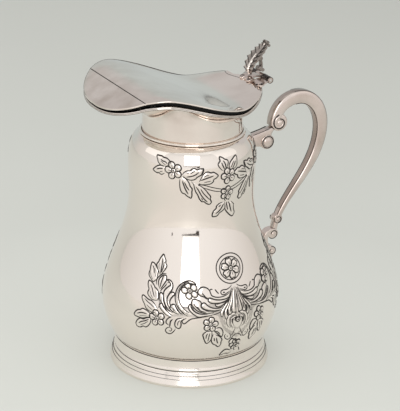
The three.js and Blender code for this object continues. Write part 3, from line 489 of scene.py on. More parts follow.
def settle(piece, material, body, slot, *nodes):
    """Gives a finished piece its material, its body and the nodes that it stands for."""
    paint(piece, material)
    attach(piece, body)
    if nodes:
        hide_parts(*nodes)


# Forms of this jug


def belly_outline(s, counts=(22, 32, 12, 26)):
    """The body's side from the foot to the neck, as [radius, height]."""
    foot = (s.foot_top_radius + 0.4 * MM, s.foot_height + 0.3 * MM)
    belly = (s.belly_radius, s.belly_height)
    waist = (s.waist_radius, s.waist_height)
    shoulder = (s.shoulder_radius, s.shoulder_height)
    low, high = belly[1] - s.foot_height, waist[1] - belly[1]
    rise, neck = shoulder[1] - waist[1], s.neck_height - shoulder[1]
    return np.vstack([
        [foot],
        arc(foot, (belly[0] - 5.2 * MM, s.foot_height + low * 0.24), (belly[0], belly[1] - low * 0.37), belly,
            counts[0]),
        arc(belly, (belly[0], belly[1] + high * 0.29), (waist[0], waist[1] - high * 0.37), waist, counts[1]),
        arc(waist, (waist[0], waist[1] + rise * 0.35), (shoulder[0], shoulder[1] - rise * 0.35), shoulder,
            counts[2]),
        arc(shoulder, (shoulder[0], shoulder[1] + neck * 0.7),
            (shoulder[0] - (shoulder[0] - s.neck_radius) * 0.36, s.neck_height),
            (s.neck_radius + 0.5 * MM, s.neck_height), counts[3]),
    ])


def body_radius(z):
    """The body's radius at a height."""
    side = belly_outline(bpy.context.scene.jug_body)
    return np.interp(z, side[:, 1], side[:, 0])


def pad_face(z):
    """How far from the axis the handle's scrolls meet the plates on the body."""
    return body_radius(z) + 2 * MM


def brim_half_outline(s):
    """Half of the brim's outline from above, from the spout's tip to the rear, as [x, y]."""
    a = np.linspace(0, QUARTER, 44, endpoint=False)
    share = 2 / 2.3  # 1 would make the front an oval, less makes it fuller
    front = np.stack([-s.widest_at - (s.reach_front - s.widest_at) * np.cos(a) ** share,
                      s.half_width * np.sin(a) ** share], axis=1)
    reach = s.widest_at + s.pinch_at
    start = (-s.widest_at, s.half_width)
    pinch = arc(start, (-s.widest_at + reach * 0.3, s.half_width),
                (s.pinch_at - reach * 0.3, s.pinch_half_width + 4.2 * MM),
                (s.pinch_at, s.pinch_half_width), 16)
    back = s.reach_rear - s.pinch_at
    rear = arc((s.pinch_at, s.pinch_half_width), (s.pinch_at + back * 0.39, s.pinch_half_width - 4.8 * MM),
               (s.reach_rear, s.pinch_half_width * 0.58), (s.reach_rear, 0), 26)
    return np.vstack([front, [start], pinch, rear])


def brim_outline(s):
    """The brim's whole outline, which closes on itself."""
    half = brim_half_outline(s)
    return np.vstack([half, half[-2:0:-1] * (1, -1)])


def lid_wave(s):
    """The lid's upper side along X, rear to front, as [x, z]."""
    back = s.reach_rear - s.dip_at
    middle = s.dip_at + s.crest_at
    front = s.crease_at - s.crest_at
    start = (s.reach_rear, s.hinge_end_height)
    dip, crest = (s.dip_at, s.dip_height), (-s.crest_at, s.crest_height)
    crease = (-s.crease_at, s.crease_height)
    return np.vstack([
        [start],
        arc(start, (s.reach_rear - back * 0.28, s.hinge_end_height - 3.5 * MM),
            (s.dip_at + back * 0.28, s.dip_height), dip, 30),
        arc(dip, (s.dip_at - middle * 0.22, s.dip_height), (-s.crest_at + middle * 0.25, s.crest_height),
            crest, 50),
        arc(crest, (-s.crest_at - front * 0.33, s.crest_height),
            (-s.crease_at + front * 0.3, s.crease_height + 1.4 * MM), crease, 16),
        [(-s.reach_front, s.lip_height)],
    ])


def lid_top(s, x):
    """The lid's height at a place along X."""
    wave = lid_wave(s)[::-1]
    return np.interp(x, wave[:, 0], wave[:, 1])


def rim_gap(s, x):
    """Space between the lid's underside and the rolled edge."""
    t = np.clip((x + s.reach_front) / (s.reach_front + s.lid_rear), 0, 1)
    return 1.2 * MM + 2 * MM * np.sin(pi * np.sqrt(t) * 0.82) ** 2


def brim_edge(s, x):
    """Height of the rolled edge's middle."""
    under = lid_top(s, x) - s.lid_sheet - rim_gap(s, np.minimum(x, s.lid_rear)) - s.edge_radius
    return under + eased(s.lid_rear - 12 * MM, s.lid_rear, x) * rim_gap(s, s.lid_rear) * 0.25


def brim_place(s, body, p, edge, share, inside):
    """A place on the brim's sheet, a share of the way from the neck to the rolled edge at this height."""
    reach = np.hypot(*p)
    turn = radians(65)
    a = acos(1 - share * (1 - cos(turn)))
    neck = body.neck_radius
    r = neck + (reach - 2 * s.edge_radius - neck) * share - inside * body.wall * cos(a)
    rise = s.flare_height * sin(a) / sin(turn)
    z = edge - s.flare_height + rise + inside * body.wall * sin(a)
    return (p[0] / reach * r, p[1] / reach * r, z)


def sheet_height(s, body, p, reach, count):
    """Height of the brim's inner side at this distance from the axis, towards a place on its edge."""
    edge = brim_edge(s, p[0])
    slope = np.array([brim_place(s, body, p, edge, a, 1) for a in np.linspace(0, 1, count)])
    return np.interp(reach, np.hypot(slope[:, 0], slope[:, 1]), slope[:, 2])


def handle_path():
    """The middle of the handle from its upper scroll over the crown to its lower end, as [x, z]."""
    x, z = 76 * MM, 195 * MM
    crown, reach, end = (98 * MM, 216.4 * MM), (121.3 * MM, 188 * MM), (78.9 * MM, 101.2 * MM)
    return np.vstack([
        [(x, z)],
        arc((x, z), (x, z + (crown[1] - z) * 0.6), (crown[0] - (crown[0] - x) * 0.55, crown[1]), crown, 34),
        arc(crown, (crown[0] + (reach[0] - crown[0]) * 0.56, crown[1]),
            (reach[0], reach[1] + (crown[1] - reach[1]) * 0.56), reach, 34),
        arc(reach, (reach[0], reach[1] - (reach[1] - end[1]) * 0.42), (end[0] + 5.1 * MM, end[1] + 29.3 * MM),
            end, 68),
    ])


def handle_size(s, t):
    swell = eased(0, 0.25, t)
    taper = eased(0.3, 1, t)
    thick = blend(blend(s.start_thickness, s.crown_thickness, swell), s.end_thickness, taper)
    return thick, blend(s.width, s.end_width, taper)


# Materials


class Tree:
    """Ways of adding nodes to a material, a group or the world. A value is a socket or a plain value."""

    def __init__(self, tree):
        self.nodes, self.links = tree.nodes, tree.links

    def give(self, node, inputs):
        """Links or sets these inputs of a node."""
        for key, value in inputs.items():
            if isinstance(value, bpy.types.NodeSocket):
                self.links.new(value, node.inputs[key])
            else:
                node.inputs[key].default_value = value
        return node

    def add(self, kind, inputs=(), **settings):
        node = self.nodes.new("ShaderNode" + kind)
        for name, value in settings.items():
            setattr(node, name, value)
        return self.give(node, dict(inputs))

    def maths(self, operation, *values):
        return self.add("Math", enumerate(values), operation=operation).outputs[0]

    def mixed(self, factor, under, over):
        """One colour laid over another."""
        return self.add("Mix", {0: factor, 6: under, 7: over}, data_type="RGBA").outputs[2]

    def cloud(self, place, scale, detail):
        return self.add("TexNoise", {"Vector": place, "Scale": scale, "Detail": detail}).outputs["Fac"]

    def ramped(self, value, low, high, to_low=0.0, to_high=1.0):
        """A value brought from one range to another and held at its ends."""
        return self.add("MapRange", {"Value": value, "From Min": low, "From Max": high, "To Min": to_low,
                                     "To Max": to_high}).outputs["Result"]

    def raised(self, height, strength, distance):
        """The normal of a surface with fine relief."""
        inputs = {"Height": height, "Strength": strength, "Distance": distance}
        return self.add("Bump", inputs).outputs["Normal"]


def shader(name, base, metallic, roughness):
    """A node material, its tree, its surface and its Object coordinates."""
    material = bpy.data.materials.new(name)
    material.use_nodes = True
    tree = Tree(material.node_tree)
    surface = tree.nodes["Principled BSDF"]
    tree.give(surface, {"Base Color": (*base, 1), "Metallic": metallic, "Roughness": roughness})
    place = tree.add("TexCoord")
    place.name = "Place"
    return material, tree, surface, place.outputs["Object"]


def handling_group():
    """Handled silver: a soft breath of tarnish, uneven polish and fine hairlines."""
    group = bpy.data.node_groups.get("handled_silver")
    if group:
        return group
    group = bpy.data.node_groups.new("handled_silver", "ShaderNodeTree")
    for label, kind, value in (("Place", "Vector", None), ("Clean", "Color", (0.9, 0.86, 0.8, 1)),
                               ("Dull", "Color", (0.7, 0.6, 0.5, 1)), ("Tarnish", "Float", 0.1),
                               ("Polish", "Float", 0.1), ("Hairlines", "Float", 0.2)):
        socket = group.interface.new_socket(name=label, in_out="INPUT", socket_type="NodeSocket" + kind)
        if value is not None:
            socket.default_value = value
    for label, kind in (("Colour", "Color"), ("Roughness", "Float"), ("Height", "Float")):
        group.interface.new_socket(name=label, in_out="OUTPUT", socket_type="NodeSocket" + kind)
    tree = Tree(group)
    given = tree.nodes.new("NodeGroupInput").outputs
    place = given["Place"]
    breath = tree.ramped(tree.cloud(place, 22, 4), 0.42, 0.72)
    uneven = tree.ramped(tree.cloud(place, 60, 2), 0.3, 0.75, 0.75, 1.35)
    streaks = tree.add("Mapping", {"Vector": place, "Scale": (1, 1, 14), "Rotation": (0.6, 0.4, 0)})
    scratch = tree.cloud(streaks.outputs["Vector"], 260, 2)
    tree.give(tree.nodes.new("NodeGroupOutput"), {
        "Colour": tree.mixed(tree.maths("MULTIPLY", breath, given["Tarnish"]), given["Clean"], given["Dull"]),
        "Roughness": tree.maths("MULTIPLY", uneven, given["Polish"]),
        "Height": tree.maths("MULTIPLY", scratch, given["Hairlines"]),
    })
    return group


def silver_material(name, clean, dull, tarnish, polish, hairlines, bump):
    """Silver in one state of polish, from the shared handled look."""
    existing = bpy.data.materials.get(name)
    if existing:
        return existing
    material, tree, surface, place = shader(name, clean, 1, polish)
    look = tree.add("Group", node_tree=handling_group())
    tree.give(look, {"Place": place, "Clean": (*clean, 1), "Dull": (*dull, 1), "Tarnish": tarnish,
                     "Polish": polish, "Hairlines": hairlines})
    tree.give(surface, {"Base Color": look.outputs["Colour"], "Roughness": look.outputs["Roughness"],
                        "Normal": tree.raised(look.outputs["Height"], bump, 0.2 * MM)})
    return material


def polished_silver():
    clean = bpy.context.scene.jug_colours.silver
    return silver_material("polished_silver", clean, (0.82, 0.72, 0.63), 0.14, 0.06, 0.2, 0.01)


def cast_silver():
    clean = bpy.context.scene.jug_colours.cast
    return silver_material("worn_cast_silver", clean, (0.47, 0.37, 0.32), 0.8, 0.14, 0.5, 0.05)


def aged_and_shaded_silver():
    """Silver of the small fittings, where the polish has left more of the dark. The same dark silver is laid
    as painted shade on the upper bracket under the handle's arch.
    """
    return silver_material("aged_and_shaded_silver", (0.66, 0.595, 0.56), (0.13, 0.108, 0.095), 0.95, 0.15, 0.6, 0.08)


def foot_silver():
    """The foot's silver, rubbed a little duller than the body."""
    clean = bpy.context.scene.jug_colours.silver
    return silver_material("foot_silver", clean, (0.74, 0.64, 0.57), 0.3, 0.13, 0.5, 0.03)


def stain_and_shade_silver(name, axis, middle, near, far, tone, strength, scale):
    """Lid or neck silver with clouds of a deeper tone round one place along the jug's X or Z axis: tarnish on
    the lid, and round the neck under the lid's edge painted shade, the lid's dark underside reflected there.
    """
    clean = bpy.context.scene.jug_colours.silver
    material = silver_material(name, clean, (0.66, 0.56, 0.51), 0.55, 0.07, 0.2, 0.012)
    tree = Tree(material.node_tree)
    look = next(node for node in tree.nodes if node.type == "GROUP")
    place = tree.nodes["Place"].outputs["Object"]
    along = tree.add("SeparateXYZ", {0: place}).outputs[axis]
    off = tree.maths("ABSOLUTE", tree.maths("SUBTRACT", along, middle))
    zone = tree.ramped(off, near, far, strength, 0)
    cloud = tree.ramped(tree.cloud(place, scale, 5), 0.36, 0.72)
    shown = tree.mixed(tree.maths("MULTIPLY", zone, cloud), look.outputs["Colour"], (*tone, 1))
    tree.give(tree.nodes["Principled BSDF"], {"Base Color": shown})
    return material


def grained(name, base, roughness, scale, depth, contrast=0.25, metallic=0.0):
    """A plain material with a fine grain in colour, gloss and height."""
    existing = bpy.data.materials.get(name)
    if existing:
        return existing
    material, tree, surface, place = shader(name, base, metallic, roughness)
    cloud = tree.cloud(place, scale, 5)
    dark, light = ((*(min(1, v * (1 + change)) for v in base), 1) for change in (-contrast, contrast))
    tree.give(surface, {"Base Color": tree.mixed(cloud, dark, light),
                        "Roughness": tree.ramped(cloud, 0.3, 0.7, roughness * 0.8, min(1, roughness * 1.2)),
                        "Normal": tree.raised(cloud, 0.3, depth)})
    return material


def tarnish_and_painted_shade():
    """The dark that stays in chased lines, scroll grooves and corners, and the same dark laid in thin lines
    of painted shade and painted reflection along edges and on smooth faces.
    """
    return grained("tarnish_and_painted_shade", bpy.context.scene.jug_colours.tarnish, 0.55, 300, 0.02 * MM, 0.5)


def matted_silver():
    """The ground between the leaves, dulled with a fine punch and darkened by tarnish."""
    return grained("matted_silver", (0.60, 0.555, 0.515), 0.38, 1500, 0.12 * MM, 0.4, 1.0)


def black_rubber():
    return grained("black_rubber", bpy.context.scene.jug_colours.seal, 0.65, 900, 0.05 * MM)


def pin_steel():
    return grained("pin_steel", bpy.context.scene.jug_colours.steel, 0.25, 500, 0.02 * MM, 0.1, 1.0)


def settle_cast(piece, node, body="jug", finish=cast_silver):
    """Settles a cast piece, which stands for one node."""
    settle(piece, finish(), body, "cast_silver", node)


def settle_lines(name, lines, body="jug", slot="cast_silver"):
    """Makes dark lines one piece and settles it."""
    settle(joined(name, lines), tarnish_and_painted_shade(), body, slot)


# Round pieces


class JUG_OT_body(bpy.types.Operator):
    """Spins the body, the foot and the bead at the neck"""

    bl_idname = "jug.body"
    bl_label = "Body, Foot and Bead"

    def execute(self, context):
        s = context.scene.jug_body
        side = belly_outline(s)
        skirt = 60.1 * MM
        low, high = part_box("body_shell")[0].z, s.foot_height + 0.3 * MM
        inner = [(r - s.wall, min(z, s.neck_height - s.wall)) for r, z in side[::-2]]
        mouth = s.neck_radius - 1.6 * MM
        shell = [(skirt - s.wall, low), (skirt, low), (skirt, high), *side, (mouth, s.neck_height),
                 (mouth, s.neck_height - s.wall), *inner[1:], (skirt - s.wall, high + s.wall),
                 (skirt - s.wall, low)]
        body = turned("jug_body", round_the_jug(shell), 192)
        settle(body, polished_silver(), "jug", "silver", "body_shell")

        foot = turned("jug_foot", round_the_jug(self.foot_outline(s)), 176, degrees=24)
        settle(foot, foot_silver(), "jug", "silver", "foot_ring")

        neck = (s.neck_radius, s.neck_height)
        middle = [v + 0.3 * MM + s.bead_radius for v in neck]
        ring = on_circle(middle, s.bead_radius, whole(13))
        bead = turned("neck_bead_ring", round_the_jug(ring), 144, degrees=60)
        settle(bead, polished_silver(), "jug", "silver", "neck_bead")

        # In the joint of foot and body, under the moulding, two on the skirt and one at the neck. The two on
        # the skirt lie on its smooth face and are painted reflections.
        lines = [((62.95 * MM, 22.95 * MM), 0.42, 0.42), ((62.9 * MM, 13.2 * MM), 0.45, 0.45),
                 ((64.75 * MM, 9.6 * MM), 0.17, 0.17), ((65.5 * MM, 6.6 * MM), 0.16, 0.16),
                 ((neck[0] + 1.2 * MM, neck[1] + 0.5 * MM), 0.5, 0.35)]
        rings = [on_circle(place, wide * MM, whole(9), high * MM) for place, wide, high in lines]
        rings = [turned("ring", round_the_jug(ring), 144, degrees=60) for ring in rings]
        settle_lines("joint_and_reflection_lines", rings, slot="silver")
        return {"FINISHED"}

    @staticmethod
    def foot_outline(s):
        bore = 60.4 * MM
        spread = s.foot_radius - s.foot_step_radius
        groove = s.foot_groove_radius
        step = s.foot_step_height
        outline = [(bore, 0), (s.foot_radius - 0.5 * MM, 0), (s.foot_radius - 0.1 * MM, 0.2 * MM),
                   (s.foot_radius, 0.7 * MM), (s.foot_radius, 2 * MM)]
        shoulder = s.foot_step_radius - 0.2 * MM
        outline += list(arc((s.foot_radius, 2 * MM), (s.foot_radius - spread * 0.4, 2 * MM + step * 0.2),
                            (shoulder + spread * 0.3, step - 4.6 * MM), (shoulder, step - 1.6 * MM), 12))
        outline += list(arc(outline[-1], (shoulder - 0.1 * MM, step - 0.7 * MM),
                            (groove + 2.1 * MM, step - 0.5 * MM), (groove + 1.7 * MM, step - 0.8 * MM), 6))
        lip = (groove + 2.7 * MM, step + 0.4 * MM)
        outline += [(groove + 1.6 * MM, step - 0.4 * MM), (groove + 1.8 * MM, step),
                    (lip[0] - 0.3 * MM, step + 0.05 * MM)]
        outline += list(arc(lip, (lip[0] - 0.8 * MM, lip[1] + 1.8 * MM),
                            (s.foot_top_radius - 0.2 * MM, lip[1] + 5 * MM),
                            (s.foot_top_radius - 0.6 * MM, s.foot_height), 14))
        return outline + [(bore + 0.4 * MM, s.foot_height), (bore, s.foot_height - MM), (bore, 0)]


# Brim and lid


class JUG_OT_brim(bpy.types.Operator):
    """Draws the waved brim with its rolled edge, out of the neck"""

    bl_idname = "jug.brim"
    bl_label = "Brim"

    def execute(self, context):
        body, s = context.scene.jug_body, context.scene.jug_brim
        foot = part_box("brim")[0].z
        shares = np.concatenate([[0, 0.01, 0.04], np.linspace(0.09, 0.97, 13)])
        # Three dark lines run round the rolled edge: one in its fine groove, and two on its smooth round
        # faces that are painted reflections.
        rings, grooves = [], [[], [], []]
        for p in brim_outline(s):
            reach = np.hypot(*p)
            way = p / reach
            edge = brim_edge(s, p[0])

            def on_roll(a, r):
                return (*(way * (reach - s.edge_radius + r * cos(a))), edge + r * sin(a))

            outer = [brim_place(s, body, p, edge, a, 0) for a in shares]
            inner = [brim_place(s, body, p, edge, a, 1) for a in shares[::-1]]
            roll = [on_roll(a, s.edge_radius * (1 - 0.2 * exp(-((a - 0.1) / 0.16) ** 2)))
                    for a in np.linspace(-0.75 * pi, 0.75 * pi, 19)]
            low = (*(way * body.neck_radius), foot)
            bore = (*(way * (body.neck_radius - body.wall)), foot)
            rings.append([low, *outer, *roll, *inner, bore])
            for groove, a, share in zip(grooves, (0.1, -0.75, 0.85), (0.86, 1, 1)):
                groove.append(on_roll(a, s.edge_radius * share))
        brim = skin("waved_brim", rings, loop=True, degrees=40)
        # Painted shade: darker clouds round 227 mm up the brim, for the lid's dark underside reflected under
        # its edge.
        stain_and_shade = stain_and_shade_silver("neck_painted_shade_silver", "Z", 227 * MM, 2 * MM, 10 * MM, (0.44, 0.36, 0.30), 0.6, 75)
        settle(brim, stain_and_shade, "jug", "silver", "brim")
        lines = [wire("line", groove + groove[:1], radius * MM)
                 for groove, radius in zip(grooves, (0.18, 0.15, 0.12))]
        settle_lines("brim_edge_lines", lines, slot="silver")
        return {"FINISHED"}


class JUG_OT_lid(bpy.types.Operator):
    """Draws the waved lid with its crease, and the black seal under it"""

    bl_idname = "jug.lid"
    bl_label = "Lid and Seal"

    def execute(self, context):
        s = context.scene.jug_brim
        half = brim_half_outline(s)
        tip = -s.reach_front + 0.15 * MM
        near_tip = tip + (np.linspace(0, 1, 18, endpoint=False) ** 2) * 14 * MM
        stations = list(near_tip) + list(np.linspace(tip + 14 * MM, s.lid_rear, 90))
        crease = -s.crease_at + np.array([-0.9, -0.5, -0.25, 0, 0.25, 0.5, 0.9]) * MM
        stations = sorted([x for x in stations if abs(x + s.crease_at) > 1.2 * MM] + list(crease))

        def half_width(x):
            return np.interp(x, half[:, 0], half[:, 1])

        rings = []
        for x in stations:
            z = lid_top(s, x) - 0.35 * MM * exp(-((x + s.crease_at) / (0.3 * MM)) ** 2)
            rings.append(self.across(x, half_width(x), z, s.lid_sheet))
        lid = skin("waved_lid", rings, degrees=35)
        stain_and_shade = stain_and_shade_silver("stained_lid_silver", "X", -82 * MM, 12 * MM, 62 * MM, (0.52, 0.44, 0.37), 0.5, 62)
        settle(lid, stain_and_shade, "lid", "silver", "lid_plate")

        w = half_width(-s.crease_at) * 0.985
        across = [(-s.crease_at, y) for y in np.linspace(-w, w, 40)]
        # The thin dark line along the far rim is painted shade.
        rim = [(x, half_width(x) - 0.35 * MM) for x in stations if tip + MM < x < s.lid_rear]
        rim = [(x, y) for x, y in rim if y > MM]
        seam = through(np.array([(45.4, 30.8), (44.1, 25), (44.8, 17.5), (46.5, 8)]) * MM, 30)
        lines = [wire("line", [(x, y, lid_top(s, x) - sunk * MM) for x, y in line], radius * MM)
                 for line, sunk, radius in ((across, 0.1, 0.3), (rim, 0.02, 0.08), (seam, 0.02, 0.22))]
        settle_lines("lid_lines", lines, "lid", "silver")

        self.seal(s, context.scene.jug_body)
        return {"FINISHED"}

    @staticmethod
    def across(x, w, z, sheet):
        """One cross section of the lid, with a rounded rim on either side."""
        round_off = min(sheet / 2, w * 0.5)
        flat = w - round_off
        top = [(x, flat * u, z) for u in np.linspace(-1, 1, 9)]
        rim = [(x, flat + round_off * sin(a), z - sheet / 2 + sheet / 2 * cos(a))
               for a in np.linspace(0, pi, 9)[1:-1]]
        under = [(x, flat * u, z - sheet) for u in np.linspace(1, -1, 9)]
        far_rim = [(p[0], -p[1], p[2]) for p in reversed(rim)]
        return top + rim + under + far_rim

    @staticmethod
    def seal(s, body):
        """The rubber ring that fills the gap between the lid and the brim's sheet. Its near-black colour and
        dulled gloss are also painted shade, standing for the dark inside that gap.
        """
        outline = brim_outline(s)
        centre = outline.mean(axis=0)
        rings = []
        for p in outline:
            reach = np.linalg.norm(p - centre)
            places = []
            near = 0.9 + 1.8 * (1 - eased(-72 * MM, -30 * MM, p[0]))
            for inset in (near, near + 0.3, 5.4):
                q = centre + (p - centre) / reach * (reach - inset * MM)
                q[0] = min(q[0], s.lid_rear - inset * MM)
                places.append(q)
            tops = [lid_top(s, q[0]) - s.lid_sheet - 0.1 * MM for q in places]
            lows = [sheet_height(s, body, p, np.hypot(*q), 20) + 0.8 * MM for q in places]
            rings.append([(*places[1], tops[1]), (*places[2], tops[2]), (*places[2], lows[2]),
                          (*places[1], lows[1]), (*places[0], blend(lows[0], tops[0], 0.5))])
        seal = skin("seal_ring_and_gap_shade", rings, loop=True, degrees=50)
        rubber = black_rubber()
        # The gloss is turned down so the ring shows as painted shade in the gap.
        rubber.node_tree.nodes["Principled BSDF"].inputs["Specular IOR Level"].default_value = 0.12
        settle(seal, rubber, "lid", "black_seal", "lid_seal")


# Hinge and thumbpiece


def laid_leaf(name, outline, bottom_at, thickness):
    """A leaf cut to an outline seen from above, drawn up to its thickness and laid over what is under it."""
    piece = start_drawing(name)
    fill([(x, y, 0) for x, y in outline])
    bpy.ops.mesh.inset(thickness=0.45 * MM)
    bpy.ops.mesh.select_all(action="SELECT")
    bpy.ops.mesh.quads_convert_to_tris()
    draw_out((0, 0, thickness))
    finish_drawing()
    for v in piece.data.vertices:
        v.co.z += bottom_at(v.co.x, v.co.y)
    return bevelled(piece, 0.3 * MM, 50)


class JUG_OT_hinge(bpy.types.Operator):
    """Cuts the hinge leaves, turns their knuckles and adds the pin"""

    bl_idname = "jug.hinge"
    bl_label = "Hinge"

    def execute(self, context):
        brim, s = context.scene.jug_brim, context.scene.jug_handle
        x, z, r = s.hinge_at, s.hinge_height, s.knuckle_radius
        end = x - r * 0.5
        thick = 1.3 * MM
        top = z + 0.2 * MM
        half = 5.7 * MM
        lobe = (48.6 * MM, 5.4 * MM)
        up = rounded(lobe, 3 * MM, 45, 270)
        middle = [(lobe[0] - 1.6 * MM, 1.2 * MM), (lobe[0] - 2 * MM, 0), (lobe[0] - 1.6 * MM, -1.2 * MM)]
        down = [(px, -py) for px, py in reversed(up)]
        outline = [(end, -half), (end, half), (53 * MM, half - 0.6 * MM), *up, *middle, *down,
                   (53 * MM, -half + 0.6 * MM)]

        def on_lid(px, py):
            return min(lid_top(brim, min(px, brim.reach_rear)) + 0.4 * MM, top)

        leaf = laid_leaf("lid_leaf", outline, on_lid, thick)
        knuckle = drum("lid_knuckle", x, z, r, half, 0.35 * MM)
        curls = self.lobe_curls(lobe, 2.3 * MM, on_lid, thick)
        settle_cast(joined("lid_leaf", [leaf, knuckle]), "lid_hinge_leaf", "lid")
        settle_lines("lid_leaf_lines", curls, "lid")

        inner, outer = half + 0.3 * MM, half + 10.8 * MM
        body = context.scene.jug_body
        half_brim = brim_half_outline(brim)

        def on_brim(px, py):
            turns = np.arctan2(half_brim[:, 1], half_brim[:, 0])
            p = half_brim[np.argmin(np.abs(turns - atan2(py, px)))]
            sheet = sheet_height(brim, body, p, hypot(px, py), 16)
            bead = brim_edge(brim, px) + brim.edge_radius
            return min(max(sheet + 0.9 * MM, bead + 0.6 * MM), top)

        def brim_leaf(name, *plan):
            """A hinge plate on the brim with its knuckle, on the far side."""
            laid = laid_leaf(name, [(end, inner), (end, outer), *plan], on_brim, thick)
            ring = drum("ring", x, z, r, (outer - inner) / 2, 0.35 * MM, y=(inner + outer) / 2)
            return joined(name, [laid, ring])

        foot, short = (51 * MM, 19 * MM), (55.5 * MM, 12 * MM)
        pattern = brim_leaf("brim_leaf", (foot[0] + 3.3 * MM, foot[1] + 1.65 * MM),
                            *rounded(foot, 3.3 * MM, 36, 216), (foot[0] - 0.6 * MM, inner + 3.4 * MM),
                            (foot[0] + 3 * MM, inner + 0.8 * MM))
        near = mirrored(pattern, "brim_leaf_near")
        bpy.data.objects.remove(pattern)
        far = brim_leaf("brim_leaf_far", (short[0] + 2.6 * MM, short[1] + 2 * MM),
                        *rounded(short, 2.6 * MM, 50, 216), (short[0] - 0.6 * MM, inner + 1.4 * MM),
                        (short[0], inner + 0.4 * MM))
        settle_cast(far, "brim_knuckle_far", finish=aged_and_shaded_silver)
        settle_cast(near, "brim_knuckle_near")

        def on_barrel(centre, normal):
            return hypot(centre.x - x, centre.z - z) < r + 0.15 * MM and abs(normal.y) < 0.6

        barrel = silver_material("barrel_silver", (0.14, 0.12, 0.11), (0.06, 0.05, 0.045), 0.9, 0.16, 0.5,
                                 0.05)
        for brim_plate in (near, far):
            finish_faces(brim_plate, barrel, on_barrel)
        lines = []
        for side in (-1, 1):
            for y, radius in ((5.9, 2.62), (9.4, 2.6), (13.2, 2.6), (16.4, 2.45)):
                ring = on_circle((x, z), radius * MM, whole(33))
                lines.append(wire("line", [(px, side * y * MM, pz) for px, pz in ring], 0.3 * MM))
            if side < 0:
                for aside, out in ((-2.4, -1.2), (1.2, 0.4)):
                    px, py = foot[0] + aside * MM, foot[1] + out * MM
                    dot = drum("dot", 0, 0, 0.9 * MM, 0.4 * MM, 0.2 * MM, 16)
                    high = on_brim(px, py) + thick + 0.1 * MM
                    for v in dot.data.vertices:
                        v.co = (px + v.co.x, side * py - v.co.z, high + v.co.y * 0.5)
                    lines.append(dot)
        settle_lines("hinge_lines", lines)

        pin = drum("hinge_pin_turned", x, z, 1.2 * MM, 17.3 * MM, 0.4 * MM, 32)
        settle(pin, pin_steel(), "jug", "steel", "hinge_pin")
        return {"FINISHED"}

    @staticmethod
    def lobe_curls(lobe, radius, bottom_at, thick):
        """Dark lines that curl round on the leaf's lobes."""
        curls = []
        for side in (1, -1):
            path = []
            for t in np.linspace(0, 1, 26):
                a = radians(60 + 420 * t)
                r = blend(radius, 0.5 * MM, t)
                px, py = lobe[0] + r * cos(a), side * (lobe[1] + r * sin(a))
                path.append((px, py, bottom_at(px, py) + thick + 0.02 * MM))
            curls.append(wire("curl", path, 0.22 * MM))
        return curls


